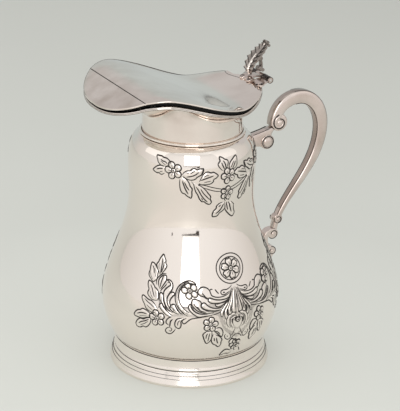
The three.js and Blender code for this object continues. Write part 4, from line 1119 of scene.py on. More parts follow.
class JUG_OT_thumbpiece(bpy.types.Operator):
    """Shapes the ribbed leaf that opens the lid, and the scroll behind it"""

    bl_idname = "jug.thumbpiece"
    bl_label = "Thumbpiece"

    def execute(self, context):
        s = context.scene.jug_handle
        path = self.middle(s)
        heading = tangents(path)
        rings = []
        for i, (p, d) in enumerate(zip(path, heading)):
            ring = self.cross_section(s, i / (len(path) - 1))[1]
            rings.append([across_path(p, d, u, w) for u, w in ring])
        rings[0] = [(x, y, s.thumb_foot) for x, y, z in rings[0]]
        leaf = skin("thumb_leaf", rings, degrees=40)
        tip = path[-1]
        curls = [drum("tip", tip[0] - 0.2 * MM, tip[1] - 1.6 * MM, 1.6 * MM, 3.1 * MM, 0.5 * MM, 24),
                 drum("tip", tip[0] + 1.5 * MM, tip[1] - 4.2 * MM, 1.2 * MM, 2.6 * MM, 0.4 * MM, 24)]
        leaf = joined("thumb_leaf", [leaf] + curls)
        settle_cast(leaf, "thumbpiece", "lid", aged_and_shaded_silver)
        # Painted highlight: the rib's front faces on the lower part of the leaf get bright polished silver.
        highlight_end = s.thumb_foot + 0.62 * s.thumb_rise
        finish_faces(leaf, polished_silver(), lambda centre, normal: (
            abs(centre.y) < 0.85 * MM and normal.x < -0.1 and centre.z < highlight_end))

        lines = []
        for side in (-1, 1):
            edge = [self.on_leaf(s, path, t, side * 0.2) for t in np.linspace(0.06, 0.93, 50)]
            lines.append(wire("vein", edge, 0.3 * MM))
            for step in range(self.barbs):
                barb = []
                for share in np.linspace(0.22, 1, 8):
                    t = (step + 0.5 + 1.1 * share) / self.barbs
                    if t < 0.97:
                        barb.append(self.on_leaf(s, path, t, side * share))
                if len(barb) > 2:
                    lines.append(wire("vein", barb, np.linspace(0.2, 0.42, len(barb)) * MM))
            curl = on_circle((tip[0] - 0.2 * MM, tip[1] - 1.6 * MM), 1.1 * MM, np.linspace(0, 5.2, 20))
            lines.append(wire("curl", [(x, side * 3.1 * MM, z) for x, z in curl], 0.32 * MM))
        settle_lines("thumb_leaf_lines", lines, "lid")

        settle_cast(self.scroll(s, path), "thumb_scroll", "lid", aged_and_shaded_silver)
        return {"FINISHED"}

    barbs = 9

    def on_leaf(self, s, path, t, share):
        """A place on the leaf's front, by its share of the height and of the half width."""
        i = min(int(t * (len(path) - 1)), len(path) - 2)
        p, d = path[i], (path[i + 1] - path[i]) / np.linalg.norm(path[i + 1] - path[i])
        return across_path(p, d, self.front(t, share), self.cross_section(s, t)[0] * share)

    @staticmethod
    def middle(s):
        """The leaf's middle line from its foot to its tip, as [x, z]."""
        x, z = s.thumb_at, s.thumb_foot
        places = [(x, z), (x - 0.6 * MM, z + s.thumb_rise * 0.2),
                  (x + s.thumb_lean * 0.22, z + s.thumb_rise * 0.45),
                  (x + s.thumb_lean * 0.62, z + s.thumb_rise * 0.67),
                  (x + s.thumb_lean * 0.94, z + s.thumb_rise * 0.85),
                  (x + s.thumb_lean, z + s.thumb_rise)]
        return through(places, 64)

    def front(self, t, share):
        """Height of the leaf's front above its middle: a rib, and barbs that run out from it."""
        rib = 1.5 * MM * exp(-(share / 0.13) ** 2)
        barb = 0.5 - 0.5 * cos(FULL_TURN * (self.barbs * t - 1.1 * abs(share)))
        return 0.3 * MM + rib + 0.75 * MM * barb * eased(0.12, 0.4, abs(share)) + 0.9 * MM * share * share

    def cross_section(self, s, t):
        """Half of the leaf's width at a share of its height, and the ring of places round it there."""
        spread = 0.36 + 0.64 * sin(pi * min(1, t * 1.08) ** 1.05) - 0.2 * t ** 3
        lobe = 0.5 - 0.5 * cos(FULL_TURN * (self.barbs * t - 1.1))
        half = s.thumb_width / 2 * spread * (1 - 0.14 * (1 - lobe) * eased(0.05, 0.2, t))
        shares = np.linspace(-1, 1, 25)
        front = [(self.front(t, a), half * a) for a in shares]
        back = [(-0.55 * MM + 0.5 * MM * a * a, half * a) for a in shares[::-1]]
        return half, front + back

    @staticmethod
    def scroll(s, path):
        """The stay behind the leaf, rolled up at both ends."""
        lean = path[len(path) // 2]
        start = (lean[0] + MM, lean[1] - MM)
        foot = (s.hinge_at - 0.4 * MM, s.hinge_height + s.knuckle_radius + 1.4 * MM)
        line = arc(start, (start[0] + 2.2 * MM, start[1] - 2.2 * MM), (foot[0] + 1.2 * MM, foot[1] + 5 * MM),
                   foot, 24)
        stay = strap("thumb_stay", np.vstack([[start], line]), lambda t: (1.5 * MM, 5 * MM), 0.6 * MM)
        # Each roll: where it hangs, how far aside and up, radius, half width, rounding of its rims
        rolls = ((start, 1.2, -2, 2, 2.7, 0.5), (foot, -1.2, 2.2, 2.1, 2.8, 0.6),
                 (foot, 1.6, 0.7, 1.5, 2.2, 0.5))
        return joined("thumb_stay", [stay] + [
            drum("roll", at[0] + aside * MM, at[1] + up * MM, radius * MM, half * MM, corner * MM, 28)
            for at, aside, up, radius, half, corner in rolls])


# Handle and brackets


def spiral(centre, start_radius, end_radius, start, turns, y):
    """90 places on a spiral that lies on a scroll's side face, its start in degrees."""
    out = []
    for t in np.linspace(0, 1, 90):
        a = radians(start + 360 * turns * t)
        r = blend(start_radius, end_radius, t ** 0.8)
        out.append((centre[0] + r * cos(a), y, centre[1] + r * sin(a)))
    return out


def grooved(piece, grooves, lines):
    """Cuts spiral grooves into a piece and adds the dark line that lies in each."""
    for places, radius in grooves:
        piece = combined(piece, wire("groove", places, radius, 8), "DIFFERENCE")
        sink = 0.45 * radius * (-1 if places[0][1] > 0 else 1)
        lower = [(x, y + sink, z) for x, y, z in places]
        lines.append(wire("line", lower, radius * 0.8))
    return piece


class JUG_OT_handle(bpy.types.Operator):
    """Sweeps the handle and rolls a scroll at either end of it"""

    bl_idname = "jug.handle"
    bl_label = "Handle"

    def execute(self, context):
        s = context.scene.jug_handle
        path = handle_path()
        heading = tangents(path)
        upper_half, lower_half = s.width / 2, s.end_width / 2
        arch = strap("cast_handle", path, lambda t: handle_size(s, t), 0)
        arch = combined(arch, drum("scroll", *UPPER_SCROLL, 7.4 * MM, upper_half - 0.3 * MM, 1.6 * MM, 72))
        arch = combined(arch, drum("scroll", *LOWER_SCROLL, 4.3 * MM, lower_half - 0.2 * MM, MM, 56))
        arch = combined(arch, drum("seat", *SOCKET_SCROLL, 4.9 * MM, 12 * MM, 0.2 * MM, 56), "DIFFERENCE")
        pieces, lines = [arch], []
        for side in (-1, 1):
            for centre, big, small, start, half, thick in ((UPPER_SCROLL, 7.3, 3.2, 100, upper_half, 0.56),
                                                           (LOWER_SCROLL, 4.2, 2.1, 150, lower_half, 0.3)):
                y = side * (half - 0.05 * MM)
                lines.append(wire("line", spiral(centre, big * MM, small * MM, start, 0.95, y), thick * MM))
                taper = np.linspace(1.15, 0.55, 90) * thick * 2.2 * MM
                y = side * (half - 0.75 * MM)
                roll = spiral(centre, (big - 3.2 * thick) * MM, (small - 1.2 * thick) * MM, start, 0.95, y)
                pieces.append(wire("roll", roll, taper, 10))
            # Painted shade: thin dark lines along the arch's inner and outer corners on both sides.
            for inner, along, out, thick in ((-1, 0.9, 0.74, 0.27), (1, 0.93, 0.68, 0.17)):
                edge = []
                for i in range(30, len(path) - 8):
                    thickness, width = handle_size(s, i / (len(path) - 1))
                    edge.append(across_path(path[i], heading[i], inner * along * thickness / 2,
                                            side * out * width / 2))
                lines.append(wire("line", edge, thick * MM))
        pieces += [self.eye(UPPER_SCROLL, 2.5 * MM, upper_half - 0.3 * MM, 1.1 * MM),
                   self.eye(LOWER_SCROLL, 1.5 * MM, lower_half - 0.2 * MM, 0.9 * MM)]
        arch = joined("cast_handle", pieces)
        settle_cast(arch, "handle")

        def towards(way):
            """Chooses the faces of the arch's outer band, or for -1 of its inner one, which are painted
            darker.
            """
            def chosen(centre, normal):
                d = heading[np.argmin(np.hypot(path[:, 0] - centre.x, path[:, 1] - centre.z))]
                return way * (normal.z * d[0] - normal.x * d[1]) > 0.75 and centre.z > 120 * MM
            return chosen

        # Painted shade: the arch's outer band and inner band are coloured darker than its near face, for the
        # dark room above and behind that shows in them.
        band = silver_material("band_painted_shade", (0.52, 0.45, 0.41), (0.12, 0.1, 0.088), 0.95, 0.15, 0.6, 0.08)
        inner = silver_material("inner_painted_shade", (0.50, 0.41, 0.37), (0.28, 0.21, 0.18), 0.7, 0.17, 0.5, 0.05)
        finish_faces(arch, band, towards(1))
        finish_faces(arch, inner, towards(-1))
        settle_lines("handle_scroll_lines", lines)
        return {"FINISHED"}

    @staticmethod
    def eye(centre, radius, half_width, proud):
        """The round button in the middle of a scroll, domed on both sides."""
        dome = [(radius * cos(a), -half_width - proud * sin(a)) for a in np.linspace(0, QUARTER, 8)]
        outline = dome[::-1] + [(r, -w) for r, w in dome]
        places = [(centre[0] + max(r, 0), w, centre[1]) for r, w in outline]
        return turned("eye", places, 40, (centre[0], 0, centre[1]), (0, 1, 0), 60)


class JUG_OT_brackets(bpy.types.Operator):
    """Cuts the scrolls and the plates that carry the handle on the body"""

    bl_idname = "jug.brackets"
    bl_label = "Brackets"

    def execute(self, context):
        settle_cast(self.body_plate("upper_body_plate", 183 * MM, 19 * MM, 13 * MM), "upper_pad")
        settle_cast(self.body_plate("lower_body_plate", 84 * MM, 34 * MM, 11 * MM), "lower_pad")
        lines = self.upper_bracket(context.scene.jug_handle) + self.lower_scrolls()
        settle_lines("bracket_scroll_lines", lines)
        return {"FINISHED"}

    @staticmethod
    def body_plate(name, height, tall, wide):
        """An oval plate, pointed above and below, that lies close on the body's side."""
        soft = 0.35 * MM
        rings = []
        for a in np.linspace(0, pi, 34):
            u = -cos(a)
            z = height + tall / 2 * u
            half = max(wide / 2 * sqrt(max(1 - abs(u) ** 2.6, 0)), wide * 0.05)
            near = body_radius(z) + 0.35 * MM
            ys = np.linspace(-half, half, 11)
            under = [(sqrt(near ** 2 - y * y), y, z) for y in ys]
            over = [(sqrt((near + 1.2 * MM - soft * (abs(y) / half) ** 6) ** 2 - y * y), y, z)
                    for y in ys[::-1]]
            rings.append(under + over)
        return skin(name, rings, degrees=35)

    @staticmethod
    def upper_bracket(s):
        """The scroll that carries the handle's upper end. Gives its dark lines."""
        low, high = 178.4 * MM, 188.4 * MM
        x, z = BRACKET_BOSS
        radius, fine = 6.3 * MM, 0.5 * MM
        below = arc((pad_face(low), low), (x - 4 * MM, low + 0.6 * MM), (x - 2 * MM, z - radius),
                    (x, z - radius), 10)
        right = on_circle(BRACKET_BOSS, radius, (-0.8, -0.3, 0.2, 0.65))
        rise = arc(right[-1], (x + 3.2 * MM, z + 5.2 * MM), (x + 3.6 * MM, z + 6.6 * MM),
                   (UPPER_SCROLL[0] - 3 * MM, UPPER_SCROLL[1] - 4 * MM), 8)
        left = (UPPER_SCROLL[0] - 8 * MM, UPPER_SCROLL[1] - 3.6 * MM)
        back = arc(left, (x - 0.5 * MM, high + 3.2 * MM), (x - 8 * MM, high + 1.5 * MM),
                   (pad_face(high), high), 10)
        shape = [(pad_face(low), low), *below, *right, *rise, left, *back]
        bracket = plate("bracket", shape, 3.9 * MM, 0.9 * MM)
        bracket = combined(bracket, drum("scroll", x, z, radius, 4.8 * MM, 1.2 * MM, 56))
        room = (s.start_thickness + 1.2 * MM, 30 * MM)
        for seat in (drum("seat", *UPPER_SCROLL, 7.7 * MM, 12 * MM, 0.2 * MM, 72),
                     strap("seat", handle_path()[:40], lambda t: room, 0.3 * MM)):
            bracket = combined(bracket, seat, "DIFFERENCE")
        lines = []
        for side in (-1, 1):
            for name, y in (("groove", 4.85 * MM), ("line", 4.75 * MM)):
                ring = [(rx, ry, z) for rx, ry in on_circle((x + 5 * MM, side * y), fine, whole(9))]
                loop = turned(name, ring, 48, (x, 0, z), (0, 1, 0), 60)
                if name == "groove":
                    bracket = combined(bracket, loop, "DIFFERENCE")
                else:
                    lines.append(loop)
        eye = JUG_OT_handle.eye(BRACKET_BOSS, 4.1 * MM, 4.6 * MM, 1.4 * MM)
        # Dark lines: a short arc near the boss's middle, and a line of painted shade along the bracket's
        # upper back edge.
        for side in (-1, 1):
            for line, y in ((on_circle(BRACKET_BOSS, fine, np.linspace(-2.6, -0.6, 30)), 4.2 * MM),
                            (back[:-1], 3.5 * MM)):
                lines.append(wire("line", [(px, side * y, pz) for px, pz in line], 0.26 * MM))
        bracket = joined("upper_scroll_bracket", [bracket, eye])
        settle_cast(bracket, "upper_bracket")
        # Painted shade: the bracket's faces above its boss, where it rises into the handle's arch, get the
        # darker silver.
        finish_faces(bracket, aged_and_shaded_silver(),
                     lambda centre, normal: centre.z > z + 5.3 * MM and centre.x > x - MM)
        return lines

    @staticmethod
    def behind_plate(low, high):
        """The body and its plate as a solid that cuts the lower scrolls to fit."""
        rows = [(0, low)] + [(pad_face(z), z) for z in np.linspace(low, high, 16)] + [(0, high)]
        return turned("behind", round_the_jug(rows), 176)

    def lower_scrolls(self):
        """The scroll under the handle's lower end and the small one below it. Gives their dark lines."""
        lines = []
        x, z = SOCKET_SCROLL
        low, high = 87.5 * MM, 100 * MM
        line = arc((pad_face(low) + 1.8 * MM, low - 0.5 * MM), (pad_face(high) + 2.6 * MM, 95 * MM),
                   (blend(pad_face(high), x, 0.5), high + 0.4 * MM), (x, high), 30)
        limb = strap("limb", line, lambda t: (4.4 * MM, 8 * MM), 0.7 * MM)
        socket = combined(limb, drum("scroll", x, z, 4.6 * MM, 4 * MM, 0.6 * MM, 56))
        socket = combined(socket, self.behind_plate(60 * MM, 110 * MM), "DIFFERENCE")
        grooves = [(spiral((x, z), 4.7 * MM, 2.2 * MM, 215, 0.9, side * 4.06 * MM), 0.42 * MM)
                   for side in (-1, 1)]
        socket = grooved(socket, grooves, lines)
        eye = JUG_OT_handle.eye((x, z), 1.7 * MM, 4 * MM, 0.75 * MM)
        socket = joined("lower_scroll_socket", [socket, eye])
        settle_cast(socket, "lower_socket")

        x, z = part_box("drop_scroll")[1].x - 4 * MM, 81.8 * MM
        top, foot = 87.2 * MM, 72.8 * MM
        back = pad_face(top) - 2 * MM
        start, turn = (pad_face(foot) + 0.8 * MM, foot), (x, z + 3.6 * MM)
        lower = arc(start, (x - 1.5 * MM, foot + 2 * MM), (x + MM, foot + 3.4 * MM),
                    (x + 2 * MM, z - 2 * MM), 8)
        upper = arc(turn, (x - 0.8 * MM, top), (x - MM, top), (pad_face(top) + MM, top), 6)
        drop = plate("drop", [(back, foot), start, *lower, turn, *upper, (back, top)], 3.5 * MM, 0.5 * MM)
        drop = combined(drop, drum("scroll", x, z, 4 * MM, 3.5 * MM, 0.6 * MM, 48))
        drop = combined(drop, self.behind_plate(60 * MM, 95 * MM), "DIFFERENCE")
        grooves = [(spiral((x, z), 4.1 * MM, 1.9 * MM, 100, -0.95, side * 3.56 * MM), 0.4 * MM)
                   for side in (-1, 1)]
        drop = grooved(drop, grooves, lines)
        drop = joined("drop_scroll_cast", [drop, JUG_OT_handle.eye((x, z), 1.3 * MM, 3.5 * MM, 0.7 * MM)])
        settle_cast(drop, "drop_scroll")
        return lines


# Chased ornament. Each row is a line drawn on the body: its first place, and then the steps from each place
# to the next. Two whole numbers make a place or a step: how far round the body from the ornament's middle,
# and how high, in tenths of a millimetre. The half that lies towards the spout is drawn, and its mirror
# image is the other half.

SIDE_LEAVES = (  # one edge and the other, both from base to tip
    ((-600, 976, -11, 30, -6, 28, 1, 19, 20, 20, 14, 21, 22, 26, 19, 15),
     (-594, 977, 30, 30, 23, 25, 11, 21, -4, 11, -1, 14, 4, 14, -5, 19, -5, 24)),
    ((-642, 936, -30, -20, -18, 19, -13, 19, 2, 19, 14, 25, 7, 21, 8, 17, 13, 21),
     (-640, 936, 12, 31, 15, 33, -5, 26, -11, 21, -13, 10, -17, 0)),
    ((-621, 870, -6, 25, 3, 29, 17, 28, 23, 18, 16, 8), (-616, 871, 29, 31, 28, 33, 11, 26, -1, 18, -19, -1)),
    ((-658, 779, -40, -1, -23, 14, -15, 19, 1, 19, 14, 23, -3, 21, 2, 22, 14, 23),
     (-655, 779, 10, 32, 7, 32, -9, 23, -15, 11, -11, 22, -15, 14, -20, 6)),
    ((-681, 686, -39, -7, -29, 12, -21, 15, -8, 22, -12, 21, -8, 24, 7, 20),
     (-668, 716, -18, 33, -20, 20, -27, 5, -26, 14, -18, 9, -14, -4)),
    ((-729, 633, -32, -4, -36, -14, -34, -3, -32, 2, -25, 8),
     (-729, 637, -7, 25, -19, 20, -24, 8, -24, 1, -22, -13, -27, -9, -25, -21, -11, -26)),
    ((-730, 627, -2, -33, -18, -33, -25, -21, -24, 3, -27, -17, -32, 3, -13, 25, 12, 26),
     (-736, 629, -35, -9, -28, -14, -27, 1, -19, -11, -14, -16)),
    ((-555, 661, -36, 14, -29, 25, -19, 24, -6, 24, 24, 17), (-542, 674, -27, 18, -28, 26, -17, 25, -7, 22)),
    ((-558, 681, -37, 41, -29, 43, -11, 36, 4, 28, 18, 18),
     (-542, 693, -37, 28, -18, 32, -7, 37, 4, 35, -13, 22)),
    ((-555, 707, -29, 36, -15, 44, 1, 43, 15, 33, 34, 31, 27, 19, -11, 23, -11, 10),
     (-543, 705, -23, 33, -10, 37, 5, 32, 23, 35, 29, 33, 13, 31, -3, 29, -17, 15, -18, -4)),
    ((-536, 699, -27, 35, -11, 41, 4, 31, 20, 31, 19, 18, 20, 3),
     (-522, 714, -25, 33, -6, 30, 11, 26, 21, 23, 19, 18, -9, 14)),
    ((-492, 690, -35, 14, -22, 20, -5, 20, 14, 17, 17, 6), (-475, 700, -17, 24, -14, 21, -6, 17, -11, 5)),
    ((-454, 662, -42, -7, -20, -16, -10, -25, 3, -27, 25, -17),
     (-452, 656, -24, -24, 1, -26, -6, -24, -17, -12)),
    ((-417, 677, -38, 23, -28, 33, -18, 38, -2, 45, 11, 39, 22, 39, 33, 31, 36, 21, 37, 7, 30, -10, 16, -18),
     (-402, 706, -23, 14, -26, 26, -17, 34, -6, 38, 8, 38, 19, 32, 25, 25, 29, 14, 29, 4, 23, -5, 23, -1)),
    ((-61, 808, -28, -11, -53, -3, -50, 9, -31, 12, -26, -3, -25, 17, -31, 13, -9, 27, 20, 24),
     (-51, 838, -35, -16, -44, -7, -42, 3, -32, 14, -8, 20, -7, 24, -19, 19, -27, 8, -29, -10)),
    ((-64, 787, -29, -13, -53, -5, -42, 1, -32, 6, -18, 14, -1, 14, 13, 12),
     (-51, 810, -39, -15, -52, -2, -42, 7, -27, 12, -15, 4)),
    ((-57, 788, -37, -26, -42, -16, -26, -6, -19, 7, -5, 18),
     (-43, 832, -19, -32, -30, -18, -45, -12, -31, -5, -18, 0)),
    ((-223, 679, -57, -4, -53, -5, -31, 18, -29, 26, -14, 28, 7, 23, 21, 11),
     (-221, 698, -50, -6, -44, 3, -35, 15, -21, 22, -13, 24, 5, 20)),
    ((-204, 700, -50, -5, -48, 10, -35, 15, -25, 24, -15, 24, 1, 23, 15, 21),
     (-203, 715, -49, 4, -31, 10, -18, 15, -3, 19, 6, 17, -12, 19, -24, 11, -27, 2)),
    ((-143, 717, -52, -4, -49, 7, -34, 11, -21, 17, -3, 16, 19, 17),
     (-124, 739, -35, -9, -38, 3, -34, 12, -22, 17, -14, 16, -16, 3)),
    ((-241, 543, -33, -4, -23, -22, 8, -32, 11, -27, 19, -30),
     (-226, 539, 4, -33, -1, -35, -15, -31, -21, -12)),
    ((-211, 510, -10, -28, -1, -30, 17, -32, 28, -18, 25, -21),
     (-192, 505, 27, -14, 24, -21, 11, -24, -6, -16, 2, -27, -18, -22)),
    ((-214, 547, 24, -21, 26, -25, 23, -19, 9, 8), (-194, 563, 30, 4, 22, -16, 12, -31, -2, -30)),
    ((-495, 1855, -39, 3, -26, 19, -5, 21, -5, 20, 9, 13),
     (-459, 1877, 8, 18, -14, 15, -18, 11, -20, 1, -14, 8, -23, 1, -21, 0)),
    ((-510, 1799, -28, -14, -19, 9, -25, -1, -22, 10, -10, 10),
     (-504, 1855, -28, 3, -27, -4, -30, -17, -25, -24)),
    ((-363, 1803, 14, 19, 24, 14, 24, 1, 17, 14, 23, 4, 20, -9, 20, 6, 27, -1),
     (-358, 1791, 36, -23, 31, -7, 30, 8, 14, 15, 24, 13, 16, 10, 12, 24, 1, 20)),
    ((-229, 1746, 21, 41, 25, 30, 24, 8, 25, -9, 19, 3, 20, -11, 21, -21),
     (-215, 1724, 40, -2, 35, 2, 24, 16, 4, 18, 22, 11, 16, 18)),
    ((-382, 1768, -3, -26, 2, -34, 7, -34, 15, -23, 20, -8, 18, -17, 19, -11, 13, -7),
     (-362, 1785, 32, -19, 20, -29, 10, -27, 16, -23, -2, -26, 2, -30, -7, -23)),
    ((-291, 1750, 17, -25, 8, -32, 11, -31, 16, -26, 15, -34, 20, -24, 19, -3, 21, -17, 24, -8),
     (-239, 1723, 36, -23, 29, -29, 20, -27, 21, -28, -3, -21, 11, -27, -15, -18)),
)
FLUTES = (  # the same for the palmette's skirt and the rings under it, with finer lines
    ((-28, 876, -28, -65, -38, -49, -41, -46, -15, -28, 8, -34),
     (-26, 868, -24, -66, -32, -50, -31, -39, -12, -35, -17, -24)),
    ((-26, 868, -24, -66, -30, -54, -28, -40, -9, -40, 14, -38),
     (-24, 860, -21, -66, -23, -52, -19, -41, 2, -42, -18, -29)),
    ((-23, 864, -18, -63, -21, -52, -18, -37, -1, -35, 16, -12),
     (-18, 863, -11, -64, -14, -54, -10, -38, -1, -29, -11, -13)),
    ((-16, 863, -11, -65, -13, -61, -8, -43, 17, -18), (-5, 861, -2, -67, -4, -63, -1, -53, -19, -2)),
    ((-76, 551, -22, 35, -3, 38, 15, 31, 29, 18, 31, 5, 17, -2),
     (-60, 548, -15, 34, 0, 41, 16, 24, 26, 9, 24, -1)),
    ((-46, 547, -18, 35, -1, 37, 13, 21, 23, 8, 19, -1), (-31, 553, -13, 34, 0, 29, 10, 13, 11, 5, 13, -1)),
)
MIDDLE_LEAVES = (  # the same, not mirrored
    ((-35, 1821, -23, 26, -13, 23, 6, 17, 13, 14, -3, 21, 8, 11),
     (-13, 1824, 16, 17, 14, 26, 5, 17, -9, 17, -20, 7, -17, 14, -23, 11)),
    ((38, 1820, -11, 33, 15, 27, 23, 19, 20, 15, 19, 6), (53, 1820, 29, 3, 24, 20, 5, 33, 1, 25, -8, 19)),
    ((-27, 1554, -31, -8, -22, -20, -3, -17, -21, -21, -11, -24, 3, -22),
     (-8, 1553, 3, -29, -2, -25, -21, -20, -24, -12, -24, -23, -36, -2)),
    ((0, 1524, -4, -30, 12, -22, 19, -24, 25, -23, 18, -5),
     (53, 1547, 27, -26, 0, -17, 2, -28, 7, -31, -19, -25)),
    ((-28, 319, -38, 19, -29, -10, -19, -47), (-16, 299, -20, -14, -34, 7, -44, -11)),
    ((-53, 390, -9, 28, 24, 24, 36, -28), (-37, 370, 23, 3, 11, 19, 1, 22)),
)
SIDE_LINES = (  # the share of the line's width, then its row
    (1, -554, 1105, -8, -34, -15, -38, -18, -47), (1, -543, 1081, -15, -39, -28, -47),
    (0.5, -590, 1067, -8, -27, 0, -21), (1, -653, 1038, 7, -26, -4, -34), (0.5, -683, 986, 0, -29, 12, -26),
    (0.45, -638, 1019, 6, -28, -14, -41), (1, -569, 973, -16, -25, -17, -32, -13, -31),
    (0.9, -543, 993, -27, -4, -31, -17, -27, -23, -16, -28, 1, -25), (1, -697, 892, 9, -26, 4, -30, 6, -34),
    (0.5, -709, 842, 3, -26, 12, -24), (0.45, -665, 852, 4, -29, -4, -30),
    (1, -770, 775, 26, -19, 28, -16, 25, -20), (0.7, -756, 732, 21, -16, 26, -16),
    (1.1, -856, 641, 37, 15, 29, 3, 29, -2), (0.45, -835, 628, 34, 7, 38, 5),
    (1.1, -841, 562, 27, 20, 35, 15, 33, 20), (0.7, -823, 551, 35, 19, 35, 28),
    (0.6, -639, 863, -6, -56, 3, -52, -22, -42),
    (0.9, -600, 832, 10, 25, 26, 29, 25, 14, 16, 16, -7, 14, -20, -7),
    (0.9, -621, 853, 23, 24, 28, 23, 16, 19), (0.5, -616, 819, -1, -38, 16, -40, 29, -31),
    (0.6, -532, 746, 10, -20, 20, -16), (1, -511, 758, 12, -34, 23, -24, 17, -8),
    (0.8, -491, 760, 15, -32, 33, -29), (0.5, -457, 734, 19, -23, 23, -19),
    (1.1, -551, 664, -24, -11, -20, -22, -2, -22, 19, -15), (1.3, -543, 645, -17, -18, -6, -24, -3, -26),
    (0.8, -569, 575, 18, -14, -7, -19, -17, 2),
    (1, -569, 575, -21, -8, -13, -24, 15, -22, 29, -4, 23, 22, 16, 26), (0.8, -485, 642, -15, -20, -4, -26),
    (1.1, -430, 662, -26, -15, -11, -13, 7, -17, 14, -2, 21, 17, 25, 19, 30, 9, 49, 6, 57, 7, 50, 8),
    (0.5, -463, 734, -20, 34, -3, 49, 8, 39, 23, 36, 34, 32, 38, 16),
    (1, -281, 860, 10, -17, 14, -18, 14, -11), (1.1, -172, 879, 12, -19, 15, -19),
    (1, -213, 875, 10, 7, 12, -3),
    (1, -22, 892, -22, -16, -29, -10, -28, 1, -20, -7, -5, -15, 9, -13, 20, -3, 18, 8, 30, 12),
    (1.2, -109, 847, 19, -1), (1.2, -33, 850, -16, -28, -14, -25, -30, -27, -43, -23),
    (0.9, -390, 754, 18, -28, 29, -23, 40, -10, 49, 1), (1.1, -359, 781, 10, -21, 18, -22, 22, -19, 40, -12),
    (0.8, -214, 681, 42, 9, 36, 16), (0.5, -276, 719, 39, -10, 50, -2, 43, 7), (1.1, -124, 702, -7, -34),
    (1.2, -91, 718, -5, -28, 7, -31), (1, -56, 744, -11, -55), (0.5, -9, 850, -6, -78, -8, -83),
    (1.4, -50, 631, -3, -23, 8, -26), (1, -22, 615, 3, 16, 10, 6),
    (0.9, -72, 501, 16, -27, -4, -24, -21, -8, -24, 18, -7, 24, 11, 14), (0.8, -92, 480, 11, -11),
    (0.8, -22, 534, -15, -36, -13, -26), (0.9, 1, 484, -30, -15, -23, -28), (1, -260, 526, -9, -20, -1, -29),
    (0.9, -243, 527, -5, -37, -3, -39), (1.1, -203, 480, 8, -33), (1.1, -183, 480, 8, -33, 12, -27),
    (1, -199, 541, 21, -8, 22, -24), (1.1, -534, 1907, 16, -12, 22, -3, 17, -14),
    (0.6, -536, 1892, 21, -13, 21, -12), (1.1, -578, 1822, 29, 11, 29, 2), (0.6, -550, 1806, 27, 9),
    (1.1, -330, 1787, 35, 6, 32, 11, 32, 22), (1, -298, 1815, 20, 14, 19, 8), (0.7, -326, 1813, 17, 13),
    (1.1, -192, 1859, -10, -32, -13, -24), (1.2, -220, 1758, 32, 11, 33, 10, 41, 11),
    (0.7, -196, 1786, 25, 10, 20, 2), (0.7, -192, 1742, 33, 4, 23, 4),
    (1.2, -362, 1756, 11, -37, 18, -42, 20, -33), (1.1, -346, 1744, 16, -35, 23, -33),
    (1.1, -255, 1708, 22, -34, 23, -42, 32, -41, 21, -18), (1, -218, 1688, 23, -37, 26, -30, 26, -28),
    (0.8, -209, 1613, 13, -25), (0.8, -231, 1722, 48, -8, 58, -21, 60, -18, 60, -17),
    (0.8, -191, 1694, 50, -21, 51, -17, 44, -6), (1.8, -237, 1717, 18, 12),
)
MIDDLE_LINES = (  # the same, not mirrored
    (1.2, -42, 1888, 11, -29, 12, -26), (1.2, -25, 1901, 14, -28, 6, -34), (0.9, 41, 1834, 16, 25, 16, 25),
    (1.1, 57, 1825, 18, 27, 15, 29), (1.2, -19, 1542, -16, -29, -22, -27, -32, -21),
    (1.1, -45, 1537, -19, -18), (1.2, 13, 1551, -1, -34, 8, -36), (1.3, 30, 1548, 11, -41, 14, -50),
    (0.9, -16, 1604, 6, -27, 10, -19), (0.9, 28, 1583, 4, -23), (1, 50, 332, 20, -44), (1, -12, 356, 27, -52),
)
MATTED = (  # its two edges
    (-555, 669, 60, 32, 64, -1, 56, -7, 60, 39, 69, 35, 70, 30, 72, 22, 60, 37, 42, 20),
    (-555, 669, 74, 4, 72, -1, 72, -4, 81, 6, 50, 4, 37, -15, 15, -48, 27, -66, 54, -57, 82, -49),
)
SIDE_FLOWERS = (  # centre and radius in millimetres, turn in degrees
    ((-43.2, 183.1), 7.2, 15),
    ((-67.3, 63.9), 6.8, 10),
    ((-37.5, 87.6), 6.9, 15),
    ((-23.7, 60.2), 6.4, -13),
)
MIDDLE_FLOWERS = (
    ((1.8, 177.3), 6.8, 18),
    ((0.7, 162.9), 6.0, -15),
    ((-0.1, 38.0), 5.4, 18),
)
MEDALLION = (-0.9, 101.9)  # the round flower over the palmette, in millimetres


def in_millimetres(row, sign=1):
    """The places of a row, mirrored where the sign is -1."""
    return np.cumsum(np.reshape(row, (-1, 2)), axis=0) / (10 * sign, 10)


